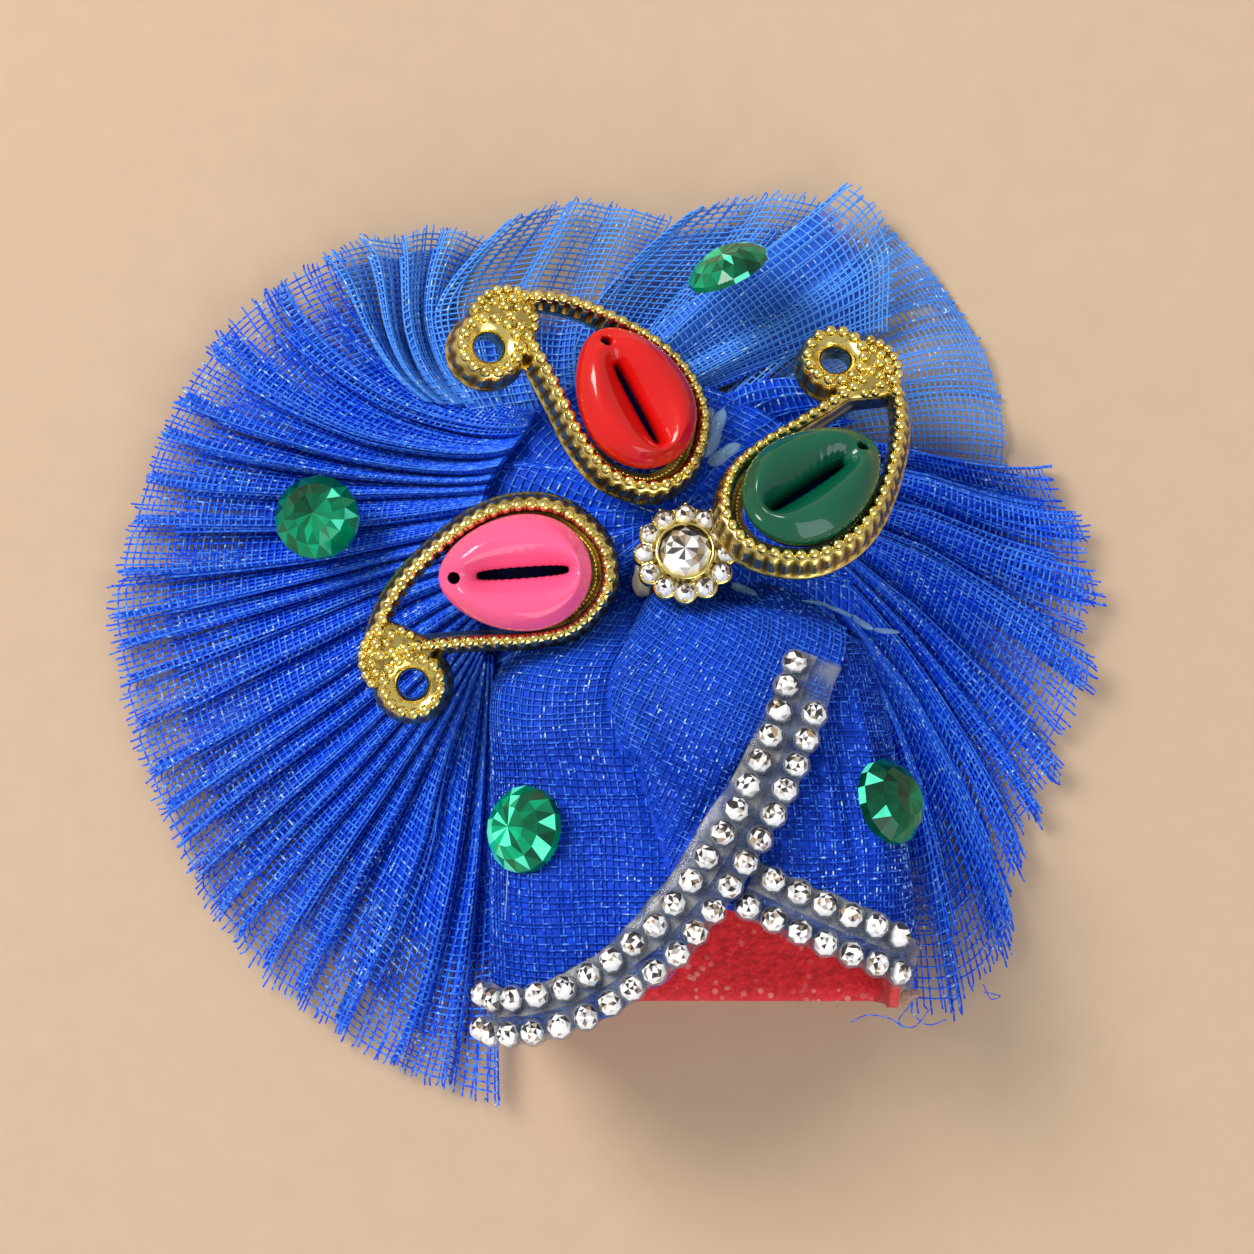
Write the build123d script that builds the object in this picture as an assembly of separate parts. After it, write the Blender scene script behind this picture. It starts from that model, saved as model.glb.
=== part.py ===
"""Turban-style mukut crown for a small deity figurine, lying on its back.

Millimetres. +Z is up, +Y runs from the cap's rim to the top of the crown, +X is to the right
as seen from the front. The origin is on the floor under the centre of the crown's box.
A felt cap lies on its back wall, two net flaps are folded over its front, and a pleated net
fan spreads from the cap's closed end. Three paisley frames with cowries, a flower button,
four green stones and two rhinestone strips are glued on.
"""
from build123d import *
import bisect
import math
import os

# Felt cap
CAP_LENGTH = 53.0
CAP_WIDTH = 46.2
CAP_HEIGHT = 27.0
CAP_CORNER = 7.5
BACK_CORNER = 4.0
CAP_CROWN = 0.8
RIM_SLANT = 2.1
RIM_Y = -42.7
CAP_X = 10.8
FELT_WALL = 1.2
FELT_RETREAT = 1.0
CAP_ROWS = 11
ROW_CROWDING = 1.9

# Net flaps folded over the cap
NET_WALL = 1.0
GAP = 0.5
FLAP_TUCK = 0.945
FLAP_SIDE = 1.95
FLAP_ROWS = 11
BULGE_HEIGHT = 1.6

# Pleated fan
FAN_REACH = 67.0
FAN_WALL = 1.0
FAN_DEPTH = 9.6
ROOT_LIFT = 9.2
ROOT_DEPTH = 1.2
HUB_DROP = 4.9

# Paisley frames and cowries
PAISLEY_LENGTH = 32.4
FRAME_HEIGHT = 4.2
LOOP_SIDES = 48
CURL_SIDES = 20
CURL_HOLE = 3.2
COWRIE_LENGTH = 0.5432 * PAISLEY_LENGTH
COWRIE_WIDTH = 0.4198 * PAISLEY_LENGTH
COWRIE_HEIGHT = 5.0
SLIT_WIDTH = 1.5
COWRIE_HOLE = 1.5

# Stones, flower and strips
GREEN_DIAMETER = 10.0
GREEN_HEIGHT = 3.6
STONE_DIAMETER = 2.8
STONE_HEIGHT = 1.4
STONE_PITCH = 3.15
STONE_ROWS = 4.0
STONE_GAP = 0.1
STONE_LIFT = 0.35
STONE_STEP = 0.1
STRIP_WIDTH = 6.5
STRIP_WALL = 0.8
ROUTE_STEPS = 12
FLOWER_DIAMETER = 12.0
PETAL_COUNT = 12
PETAL_STONE = 2.3
CENTRE_STONE = 6.0
COLLET_WALL = 0.3
SETTING_WALL = 1.2
COLLET_HEIGHT = 1.4
STEM_LENGTH = 2.8
STEM_RADIUS = 1.4

# Sections of the felt cap from its rim to its closed end, as shares of its length, width
# and height; shift moves the section sideways by a share of the width
CAP_SECTIONS = [
    dict(along=0.00, width=1.000, height=1.00, shift=0.000),
    dict(along=0.28, width=0.985, height=0.97, shift=-0.008),
    dict(along=0.52, width=0.955, height=0.86, shift=-0.022),
    dict(along=0.74, width=0.900, height=0.70, shift=-0.044),
    dict(along=0.86, width=0.710, height=0.51, shift=-0.014),
    dict(along=0.94, width=0.450, height=0.36, shift=-0.020),
    dict(along=1.00, width=0.260, height=0.22, shift=-0.054),
]

# Places round the cap's girth, counted both ways from the middle of its front, where the
# front corner, the side, the back corner and the back's half end
CORNER_END = 1.19
SIDE_END = 2.0
BACK_END = 2.3
BACK_MIDDLE = 3.0

# Lower edges of the two flaps: across is a place round the girth, and along is a share of
# the cap's length
LEFT_EDGE = [
    dict(across=-2.60, along=0.000),
    dict(across=-0.90, along=0.000),
    dict(across=-0.68, along=0.006),
    dict(across=-0.42, along=0.045),
    dict(across=-0.13, along=0.160),
    dict(across=0.07, along=0.280),
    dict(across=0.27, along=0.405),
    dict(across=0.45, along=0.525),
    dict(across=0.60, along=0.630),
    dict(across=0.70, along=0.730),
    dict(across=0.84, along=0.830),
]
RIGHT_EDGE = [
    dict(across=-0.16, along=0.290),
    dict(across=0.10, along=0.262),
    dict(across=0.40, along=0.215),
    dict(across=0.74, along=0.160),
    dict(across=0.96, along=0.110),
    dict(across=1.30, along=0.060),
    dict(across=2.60, along=0.020),
]

# Raised folds of the left flap, rise as a share of the bulge's height
FLAP_FOLDS = [
    dict(across=0.16, along=0.79, half_across=0.34, half_along=0.16, rise=1.0),
    dict(across=-0.10, along=0.86, half_across=0.12, half_along=0.10, rise=0.45),
]

# The left flap crosses over the right flap between two places round the girth
LEFT_FLAP = dict(edge=LEFT_EDGE, folds=FLAP_FOLDS, over=NET_WALL + 1.4 * GAP)
RIGHT_FLAP = dict(edge=RIGHT_EDGE, folds=[], over=0.0)
CROSSING = dict(start=-0.52, end=-0.22)

# Guide folds of the fan, clockwise from the left of the cap: degrees of the rim's polar
# angle, reach as a share of the fan's reach, degrees round the cap's closed end for the
# root, bow as a share of the reach, fold depth as a share, tooth as a share of the reach,
# and the number of pleats up to the next guide
FAN_GUIDES = [
    dict(rim=249.5, reach=0.955, root=183, bow=0.008, depth=0.80, tooth=0.010, pleats=3),
    dict(rim=236.0, reach=0.975, root=180, bow=0.010, depth=0.95, tooth=0.020, pleats=5),
    dict(rim=208.0, reach=0.995, root=175, bow=0.020, depth=1.00, tooth=0.025, pleats=4),
    dict(rim=184.0, reach=0.995, root=166, bow=0.010, depth=1.00, tooth=0.015, pleats=3),
    dict(rim=160.0, reach=0.970, root=154, bow=-0.020, depth=0.90, tooth=0.010, pleats=3),
    dict(rim=138.0, reach=0.880, root=140, bow=-0.055, depth=0.95, tooth=0.005, pleats=3),
    dict(rim=118.0, reach=0.735, root=124, bow=-0.050, depth=1.00, tooth=0.010, pleats=2),
    dict(rim=98.0, reach=0.705, root=110, bow=-0.030, depth=0.90, tooth=0.005, pleats=2),
    dict(rim=90.5, reach=0.700, root=102, bow=-0.020, depth=0.95, tooth=0.005, pleats=1),
    dict(rim=66.0, reach=0.785, root=86, bow=-0.010, depth=1.00, tooth=0.005, pleats=2),
    dict(rim=42.0, reach=0.690, root=62, bow=0.000, depth=0.35, tooth=0.005, pleats=1),
    dict(rim=24.0, reach=0.640, root=44, bow=0.000, depth=0.45, tooth=0.010, pleats=3),
    dict(rim=356.0, reach=0.745, root=24, bow=-0.010, depth=0.95, tooth=0.045, pleats=3),
    dict(rim=328.0, reach=0.775, root=10, bow=-0.020, depth=1.00, tooth=0.045, pleats=3),
    dict(rim=308.0, reach=0.885, root=2, bow=-0.030, depth=1.00, tooth=0.020, pleats=2),
    dict(rim=299.5, reach=0.850, root=-3, bow=-0.030, depth=0.90, tooth=0.010, pleats=0),
]
FAN_STATIONS = [0.0, 0.20, 0.45, 0.72, 1.0]

# Crest line of a paisley frame about its bulb, as shares of the frame's length, with +x
# towards the curl
BULB_CREST = [
    (-0.236, 0.012), (-0.198, -0.128), (-0.086, -0.236), (0.062, -0.289), (0.262, -0.300),
    (0.432, -0.278), (0.560, -0.222), (0.612, -0.160), (0.512, -0.106), (0.402, -0.028),
    (0.290, 0.062), (0.172, 0.160), (0.034, 0.232), (-0.124, 0.216), (-0.214, 0.126),
]
CURL_CENTRE = (0.598, 0.000)
CURL_RADIUS = 0.100

# Steps of a frame's section from its foot up: millimetres outward and inward of the crest
# line, and the step's top as a share of the frame's height
FRAME_STEPS = [
    dict(out=1.45, inward=1.0, up=0.35), dict(out=1.0, inward=0.75, up=0.75),
    dict(out=0.5, inward=0.5, up=1.0),
]

# Seats of the three frames about the cap's closed end: side and out are shares of a
# frame's length, above is the foot's share of the fan's depth over its gathered root, turn
# is the curl's direction and the face leans towards a direction
FRAME_SEATS = dict(
    red=dict(side=-0.176, out=0.472, above=0.03, turn=155.5, lean=19.0, towards=42.0),
    green=dict(side=0.389, out=0.164, above=0.58, turn=74.0, lean=26.0, towards=86.0),
    pink=dict(side=-0.522, out=-0.052, above=0.37, turn=222.0, lean=4.0, towards=-60.0),
)
FLOWER_SEAT = dict(side=0.009, out=0.0, above=0.33, turn=0.0, lean=17.0, towards=95.0)
COWRIE_SEAT = dict(x=0.060, y=-0.052, turn=-38.0, lift=0.48)

# Outlines of a cowrie from its flat back up: height and girth as shares
COWRIE_LEVELS = [
    dict(up=0.00, girth=0.84), dict(up=0.22, girth=0.95), dict(up=0.48, girth=1.00),
    dict(up=0.74, girth=0.88), dict(up=0.92, girth=0.66), dict(up=1.00, girth=0.44),
]

# Middle lines of the strips, in the same shares as the flaps' edges
LONG_ROUTE = [
    dict(across=-1.14, along=0.045), dict(across=-0.98, along=0.043),
    dict(across=-0.80, along=0.056), dict(across=-0.60, along=0.085),
    dict(across=-0.39, along=0.135), dict(across=-0.18, along=0.210),
    dict(across=-0.01, along=0.302), dict(across=0.13, along=0.398),
    dict(across=0.27, along=0.493), dict(across=0.40, along=0.592),
    dict(across=0.51, along=0.690), dict(across=0.63, along=0.790),
]
SHORT_ROUTE = [
    dict(across=0.205, along=0.318), dict(across=0.37, along=0.283),
    dict(across=0.56, along=0.243), dict(across=0.74, along=0.208),
    dict(across=0.90, along=0.172), dict(across=1.04, along=0.140),
]
LONG_STONE_ROWS = dict(upper=(0.9, 21), lower=(0.9, 20))
SHORT_STONE_ROWS = dict(upper=(2.3, 6), lower=(1.0, 7))

# Green stones: two on the fan, on a guide direction at a share of its reach, and two on
# the flaps
FAN_STONES = dict(
    green_stone_fan_left=dict(angle=167.5, reach=0.655, height=1.10, lean=12.0, towards=120.0),
    green_stone_fan_top=dict(angle=81.9, reach=0.580, height=1.30, lean=56.0, towards=116.0),
)
FLAP_STONES = dict(
    green_stone_left_flap=dict(across=-0.82, along=0.431),
    green_stone_right_flap=dict(across=0.93, along=0.483),
)


def blend(rows, key, column, value):
    """Read a column of a table at a value of its key column."""
    if value <= rows[0][key]:
        return rows[0][column]
    for low, high in zip(rows, rows[1:]):
        if value <= high[key]:
            share = (value - low[key]) / (high[key] - low[key])
            return low[column] + share * (high[column] - low[column])
    return rows[-1][column]


def smooth_blend(rows, key, column, value):
    """Read a column of a table along a smooth curve through its rows."""
    def slope(i):
        low, high = rows[max(i - 1, 0)], rows[min(i + 1, len(rows) - 1)]
        return (high[column] - low[column]) / (high[key] - low[key])

    value = min(max(value, rows[0][key]), rows[-1][key])
    i = 0
    while value > rows[i + 1][key]:
        i += 1
    low, high = rows[i], rows[i + 1]
    span = high[key] - low[key]
    t = (value - low[key]) / span
    return ((1 + 2 * t) * (1 - t) ** 2 * low[column] + t * (1 - t) ** 2 * span * slope(i)
            + t * t * (3 - 2 * t) * high[column] - t * t * (1 - t) * span * slope(i + 1))


def cap_section(along, offset):
    """Half width, height, sideways place, front corner and back corner of the cap."""
    half = 0.5 * CAP_WIDTH * smooth_blend(CAP_SECTIONS, "along", "width", along)
    height = CAP_HEIGHT * smooth_blend(CAP_SECTIONS, "along", "height", along)
    middle = CAP_X + CAP_WIDTH * smooth_blend(CAP_SECTIONS, "along", "shift", along)
    corner = min(CAP_CORNER, 0.45 * height, 0.8 * half)
    back = min(BACK_CORNER, 0.40 * height)
    return half + offset, height + offset, middle, corner + offset, back + offset


def on_cap(across, along, offset):
    """Place on the cap's wall, moved outward by an offset."""
    half, height, middle, corner, back = cap_section(along, offset)
    place, side = abs(across), 1 if across >= 0 else -1
    flat = (half - corner) / half
    if place <= flat:
        x, z = place * half, height + CAP_CROWN * (1 - (place / flat) ** 2)
    elif place <= CORNER_END:
        turn = 0.5 * math.pi * (place - flat) / (CORNER_END - flat)
        x, z = half - corner + corner * math.sin(turn), height - corner * (1 - math.cos(turn))
    elif place <= SIDE_END:
        share = (place - CORNER_END) / (SIDE_END - CORNER_END)
        x, z = half, height - corner + share * (back - offset - height + corner)
    elif place <= BACK_END:
        turn = 0.5 * math.pi * (place - SIDE_END) / (BACK_END - SIDE_END)
        x, z = half - back * (1 - math.cos(turn)), back * (1 - math.sin(turn)) - offset
    else:
        share = (place - BACK_END) / (BACK_MIDDLE - BACK_END)
        x, z = (half - back) * (1 - share), -offset
    y = RIM_Y + CAP_LENGTH * along - RIM_SLANT * (z / CAP_HEIGHT) * (1 - along)
    return Vector(middle + side * x, y, z)


def flap_place(flap, across, along, lift):
    """Place at a height over a flap's inner face."""
    share = (across - CROSSING["start"]) / (CROSSING["end"] - CROSSING["start"])
    share = min(max(share, 0.0), 1.0)
    offset = GAP + flap["over"] * share * share * (3 - 2 * share)
    for fold in flap["folds"]:
        far = math.hypot((across - fold["across"]) / fold["half_across"],
                         (along - fold["along"]) / fold["half_along"])
        if far < 1:
            offset += BULGE_HEIGHT * fold["rise"] * (1 - far * far) ** 2
    return on_cap(across, along, offset + lift)


def flap_normal(flap, across, along, lift):
    """Outward direction square to a flap."""
    step = 0.01
    ahead = (flap_place(flap, across, along + step, lift)
             - flap_place(flap, across, along - step, lift))
    aside = (flap_place(flap, across + step, along, lift)
             - flap_place(flap, across - step, along, lift))
    return aside.cross(ahead).normalized()


def solid_of(faces):
    """Closed solid from flat faces given as lists of points."""
    made = [Face(Wire.make_polygon(points, close=True)) for points in faces]
    solid = Solid(Shell(made))
    return solid if solid.volume > 0 else Solid(Shell([-face for face in made]))


def grid_faces(grid, flip=False, loop=False):
    """Triangles between the rows of a grid of points, joined round if it is a loop."""
    faces = []
    columns = len(grid[0])
    for low, high in zip(grid, grid[1:]):
        for i in range(columns if loop else columns - 1):
            j = (i + 1) % columns
            a, b, c, d = low[i], low[j], high[j], high[i]
            triangles = [[a, b, c], [a, c, d]]
            faces += [t[::-1] for t in triangles] if flip else triangles
    return faces


def sheet(top, bottom):
    """Closed solid between two grids of points with an open edge all round."""
    faces = grid_faces(top) + grid_faces(bottom, flip=True)
    faces += grid_faces([bottom[0], top[0]])
    faces += grid_faces([top[-1], bottom[-1]])
    faces += grid_faces([[row[0] for row in top], [row[0] for row in bottom]])
    faces += grid_faces([[row[-1] for row in bottom], [row[-1] for row in top]])
    return solid_of(faces)


def row_shares(rows):
    """Shares from 0 to 1 that come closer together towards the cap's closed end."""
    return [1 - (1 - row / rows) ** ROW_CROWDING for row in range(rows + 1)]


def notch(across):
    """Lower edge of the felt: hidden behind the flaps' edges, with an inverted V between."""
    edge = min(blend(LEFT_EDGE, "across", "along", across),
               blend(RIGHT_EDGE, "across", "along", across))
    return max(edge - FELT_RETREAT / CAP_LENGTH, 0.0)


def cap_shell():
    """Hollow felt cap with a closed end and an inverted V left open in its front wall."""
    half_girth = [0.1 * step for step in range(1, 8)]
    half_girth += [0.7 + (CORNER_END - 0.7) * step / 3 for step in (1, 2, 3)]
    half_girth += [CORNER_END + (SIDE_END - CORNER_END) * step / 2 for step in (1, 2)]
    half_girth += [SIDE_END + (BACK_END - SIDE_END) * step / 2 for step in (1, 2)]
    girth = [BACK_MIDDLE] + [-place for place in half_girth[::-1]] + [0.0] + half_girth
    outer, inner = [], []
    for share in row_shares(CAP_ROWS):
        outer_row, inner_row = [], []
        for across in girth:
            start = notch(across)
            along = start + (1 - start) * share
            outer_row.append(on_cap(across, along, 0))
            inner_row.append(on_cap(across, along, -FELT_WALL)
                             - Vector(0, FELT_WALL * share, 0))
        outer.append(outer_row)
        inner.append(inner_row)
    faces = grid_faces(outer, loop=True, flip=True) + grid_faces(inner, loop=True)
    faces += grid_faces([outer[0], inner[0]], loop=True)
    for loop, flip in ((outer[-1], True), (inner[-1], False)):
        middle = sum(loop, Vector()) / len(loop)
        for a, b in zip(loop, loop[1:] + loop[:1]):
            faces.append([b, a, middle] if flip else [a, b, middle])
    return solid_of(faces)


def flap_sheet(flap, across_from, across_to, columns):
    """Net flap over the cap's front and one side, from its lower edge to its tucked top."""
    top, bottom = [], []
    for step in range(columns + 1):
        across = across_from + (across_to - across_from) * step / columns
        start = blend(flap["edge"], "across", "along", across)
        rows = [start + (FLAP_TUCK - start) * share for share in row_shares(FLAP_ROWS)]
        top.append([flap_place(flap, across, along, NET_WALL) for along in rows])
        bottom.append([flap_place(flap, across, along, 0) for along in rows])
    return sheet(top, bottom)


def closed_end():
    """Middle of the cap's closed end."""
    return Vector(CAP_X + CAP_WIDTH * CAP_SECTIONS[-1]["shift"], RIM_Y + CAP_LENGTH, 0)


def fan_hub():
    """Point from which the fan's folds spread."""
    return closed_end() - Vector(0, HUB_DROP, 0)


def fan_root(turn):
    """Place on the line where the fan is gathered round the cap's closed end."""
    side = CAP_SECTIONS[3]["along"]
    half, _, middle, _, _ = cap_section(side, NET_WALL + 3 * GAP)
    start = RIM_Y + side * CAP_LENGTH
    reach = closed_end().Y + GAP - start
    angle = math.radians(turn)
    return Vector(middle + half * math.cos(angle), start + reach * math.sin(angle), 0)


def fan_rays():
    """Rays of the fan: root, rim, bow, depth share and ridge share, clockwise."""
    hub = fan_hub()
    wave = [(0.0, 0.0), (0.22, 0.0), (0.5, 1.0), (0.72, 1.0)]
    rays = []
    for start, end in zip(FAN_GUIDES, FAN_GUIDES[1:]):
        sweep = (start["rim"] - end["rim"]) % 360
        for pleat in range(start["pleats"]):
            for place, ridge in wave:
                share = (pleat + place) / start["pleats"]
                rays.append(fan_ray(hub, start, end, sweep, share, ridge))
    last = FAN_GUIDES[-1]
    rays.append(fan_ray(hub, last, last, 0, 0, 0.0))
    return rays


def fan_ray(hub, start, end, sweep, share, ridge):
    """One ray between two guide folds."""
    mixed = {key: start[key] + share * (end[key] - start[key])
             for key in ("reach", "root", "bow", "depth", "tooth")}
    angle = math.radians(start["rim"] - share * sweep)
    reach = FAN_REACH * (mixed["reach"] + mixed["tooth"] * (ridge - 0.5))
    rim = hub + Vector(math.cos(angle), math.sin(angle), 0) * reach
    return dict(root=fan_root(mixed["root"]), rim=rim, bow=FAN_REACH * mixed["bow"],
                depth=mixed["depth"], ridge=ridge)


def fan_point(ray, station):
    """Place and underside height of the fan's wall on a ray, at a share of the way out."""
    run = ray["rim"] - ray["root"]
    side = Vector(run.Y, -run.X, 0).normalized()
    flat = ray["root"] + run * station + side * (ray["bow"] * 4 * station * (1 - station))
    base = ROOT_LIFT * max(0.0, 1 - station / 0.55) ** 1.5
    rim_rise = FAN_DEPTH - fan_wall(1.0)
    open_share = min(1.0, station / 0.5) ** 0.8
    rise = (ROOT_DEPTH + (rim_rise - ROOT_DEPTH) * open_share) * ray["depth"] * ray["ridge"]
    return flat, base + rise


def fan_wall(station):
    """Thickness of the fan's wall, thicker where the cloth is gathered at the root."""
    return FAN_WALL * (2.0 + 1.2 * (1 - station) ** 2)


def net_fan():
    """Pleated net fan round the cap's closed end and sides."""
    top, bottom = [], []
    for ray in fan_rays():
        low, high = [], []
        for station in FAN_STATIONS:
            place, height = fan_point(ray, station)
            low.append(Vector(place.X, place.Y, height))
            high.append(Vector(place.X, place.Y, height + fan_wall(station)))
        bottom.append(low)
        top.append(high)
    return sheet(top, bottom)


def paisley_frame():
    """Paisley frame about its bulb: a stepped loop, and a curl round a hole, on a flange."""
    line = Spline(*[(x * PAISLEY_LENGTH, y * PAISLEY_LENGTH) for x, y in BULB_CREST],
                  periodic=True)
    loop = make_face(Polyline(*[line @ (i / LOOP_SIDES) for i in range(LOOP_SIDES)],
                              close=True))
    x, y = CURL_CENTRE
    curl = Pos(x * PAISLEY_LENGTH, y * PAISLEY_LENGTH)
    radius = CURL_RADIUS * PAISLEY_LENGTH
    levels, floor = [], 0.0
    for step in FRAME_STEPS:
        face = offset(loop, step["out"], kind=Kind.INTERSECTION)
        face += curl * RegularPolygon(radius + step["out"], CURL_SIDES)
        face -= offset(loop, -step["inward"], kind=Kind.INTERSECTION)
        face -= curl * RegularPolygon(max(radius - step["inward"], 0.5 * CURL_HOLE), CURL_SIDES)
        top = step["up"] * FRAME_HEIGHT
        levels.append(Pos(0, 0, floor) * extrude(face, top - floor))
        floor = top
    return levels[0] + levels[1] + levels[2]


def cowrie():
    """Plastic cowrie: an egg-shaped dome with a slit and a hole through it."""
    levels = []
    for level in COWRIE_LEVELS:
        length = COWRIE_LENGTH * level["girth"]
        width = COWRIE_WIDTH * level["girth"]
        blunt, narrow = 0.5 * width, 0.30 * width
        x_blunt, x_narrow = blunt - 0.5 * length, 0.5 * length - narrow
        outline = make_hull([edge for centre, radius in ((x_blunt, blunt), (x_narrow, narrow))
                             for edge in (Pos(centre, 0) * Circle(radius)).edges()])
        levels.append(Pos(0, 0, COWRIE_HEIGHT * level["up"]) * outline)
    body = loft(levels)
    slit = extrude(SlotOverall(0.62 * COWRIE_LENGTH, SLIT_WIDTH), COWRIE_HEIGHT)
    hole = Pos(0.40 * COWRIE_LENGTH, 0) * extrude(Circle(0.5 * COWRIE_HOLE), COWRIE_HEIGHT)
    return body - Pos(-0.05 * COWRIE_LENGTH, 0) * slit - hole


def placed(spot, turn, lean, towards):
    """Place of a glued piece whose face leans towards a direction."""
    return Pos(spot) * Rot(0, 0, towards) * Rot(0, lean, 0) * Rot(0, 0, turn - towards)


def root_seat(row):
    """Place of a piece that is glued over the fan's gathered root."""
    crest = ROOT_LIFT + ROOT_DEPTH + fan_wall(0)
    spot = closed_end() + Vector(row["side"], row["out"], 0) * PAISLEY_LENGTH
    spot += Vector(0, 0, crest + row["above"] * FAN_DEPTH)
    return placed(spot, row["turn"], row["lean"], row["towards"])


def cut_stone(diameter, height, sides, table=0.55, girdle=0.35):
    """Flat-backed stone with a table, a ring of crown facets and a girdle."""
    def ring(radius, z, turn=0.0):
        return [Vector(radius * math.cos(2 * math.pi * (i + turn) / sides),
                       radius * math.sin(2 * math.pi * (i + turn) / sides), z)
                for i in range(sides)]
    back = ring(0.5 * diameter, 0)
    middle = ring(0.5 * diameter, girdle * height)
    top = ring(0.5 * diameter * table, height)
    faces = [top, back[::-1]]
    for low, high in ((back, middle), (middle, top)):
        for i in range(sides):
            j = (i + 1) % sides
            faces.append([low[i], low[j], high[j], high[i]])
    return solid_of(faces)


def flower_setting():
    """Gold setting: a lobed plate with a collet round the middle stone and a short stem."""
    lobe_ring = 0.5 * (FLOWER_DIAMETER - PETAL_STONE) - 0.15
    plate = Circle(lobe_ring)
    for place in PolarLocations(lobe_ring, PETAL_COUNT):
        plate += place * Circle(0.5 * PETAL_STONE + 0.15)
    plate = extrude(plate, SETTING_WALL)
    inner = 0.5 * CENTRE_STONE + STONE_GAP
    collet = extrude(Circle(inner + COLLET_WALL) - Circle(inner), COLLET_HEIGHT)
    stem = Pos(0, 0, -STEM_LENGTH) * extrude(Circle(STEM_RADIUS), STEM_LENGTH)
    return plate + Pos(0, 0, SETTING_WALL) * collet + stem


def flower_petals():
    """Twelve small stones round the flower."""
    stone = cut_stone(PETAL_STONE, STONE_HEIGHT, 8)
    ring = 0.5 * (FLOWER_DIAMETER - PETAL_STONE) - 0.15
    lift = Pos(0, 0, SETTING_WALL + STONE_GAP)
    return [lift * place * stone for place in PolarLocations(ring, PETAL_COUNT)]


def route_line(route, flap):
    """Fine points of a strip's middle line, the outward directions and the lengths."""
    lift = NET_WALL + GAP
    places = []
    for low, high in zip(route, route[1:]):
        for step in range(ROUTE_STEPS):
            share = step / ROUTE_STEPS
            places.append([low[key] + share * (high[key] - low[key]) for key in low])
    points = [flap_place(flap, *place, lift) for place in places]
    normals = [flap_normal(flap, *place, lift) for place in places]
    lengths = [0.0]
    for a, b in zip(points, points[1:]):
        lengths.append(lengths[-1] + (b - a).length)
    return points, normals, lengths


def station_at(line, want):
    """Plane on a strip's middle line at a length along it, facing outward."""
    points, normals, lengths = line
    k = min(max(bisect.bisect_left(lengths, want), 1), len(lengths) - 1)
    share = (want - lengths[k - 1]) / (lengths[k] - lengths[k - 1])
    near = range(max(k - ROUTE_STEPS // 2, 0), min(k + ROUTE_STEPS // 2, len(points)))
    normal = sum((normals[i] for i in near), Vector()).normalized()
    ahead = points[near[-1]] - points[near[0]]
    ahead = (ahead - normal * ahead.dot(normal)).normalized()
    spot = points[k - 1] + (points[k] - points[k - 1]) * share
    return Plane(spot, x_dir=ahead, z_dir=normal)


def strip(line, count):
    """Clear plastic strip along a line on the cap."""
    half = 0.5 * STRIP_WIDTH
    rings = []
    for i in range(count + 1):
        plane = station_at(line, line[-1][-1] * i / count)
        rings.append([plane.from_local_coords(corner) for corner in
                      ((0, -half, 0), (0, half, 0), (0, half, STRIP_WALL),
                       (0, -half, STRIP_WALL))])
    faces = grid_faces(rings, loop=True, flip=True)
    faces += [rings[0], rings[-1][::-1]]
    return solid_of(faces)


def strip_stones(line, rows):
    """Two rows of small round stones on a strip."""
    stone = cut_stone(STONE_DIAMETER, STONE_HEIGHT, 8)
    lift = STRIP_WALL + STONE_LIFT
    stones = []
    for side, (start, count) in ((1, rows["upper"]), (-1, rows["lower"])):
        along, last = start, None
        while count and along < line[-1][-1]:
            plane = station_at(line, along)
            spot = plane.from_local_coords((0, side * 0.5 * STONE_ROWS, lift))
            if last is None or (spot - last).length >= STONE_PITCH:
                place = Plane(spot, x_dir=plane.x_dir, z_dir=plane.z_dir)
                stones.append(place.location * stone)
                last = spot
                count -= 1
            along += STONE_STEP
    return stones


def flap_stone(flap, across, along):
    """Green stone on a flap."""
    lift = NET_WALL + GAP
    plane = Plane(flap_place(flap, across, along, lift), x_dir=(0, 1, 0),
                  z_dir=flap_normal(flap, across, along, lift))
    return plane.location * cut_stone(GREEN_DIAMETER, GREEN_HEIGHT, 12)


def fan_stone(row):
    """Green stone on a fold of the fan."""
    angle = math.radians(row["angle"])
    spot = fan_hub() + Vector(math.cos(angle), math.sin(angle), 0) * FAN_REACH * row["reach"]
    spot += Vector(0, 0, FAN_DEPTH * row["height"])
    stone = cut_stone(GREEN_DIAMETER, GREEN_HEIGHT, 12)
    return placed(spot, 0, row["lean"], row["towards"]) * stone


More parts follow.
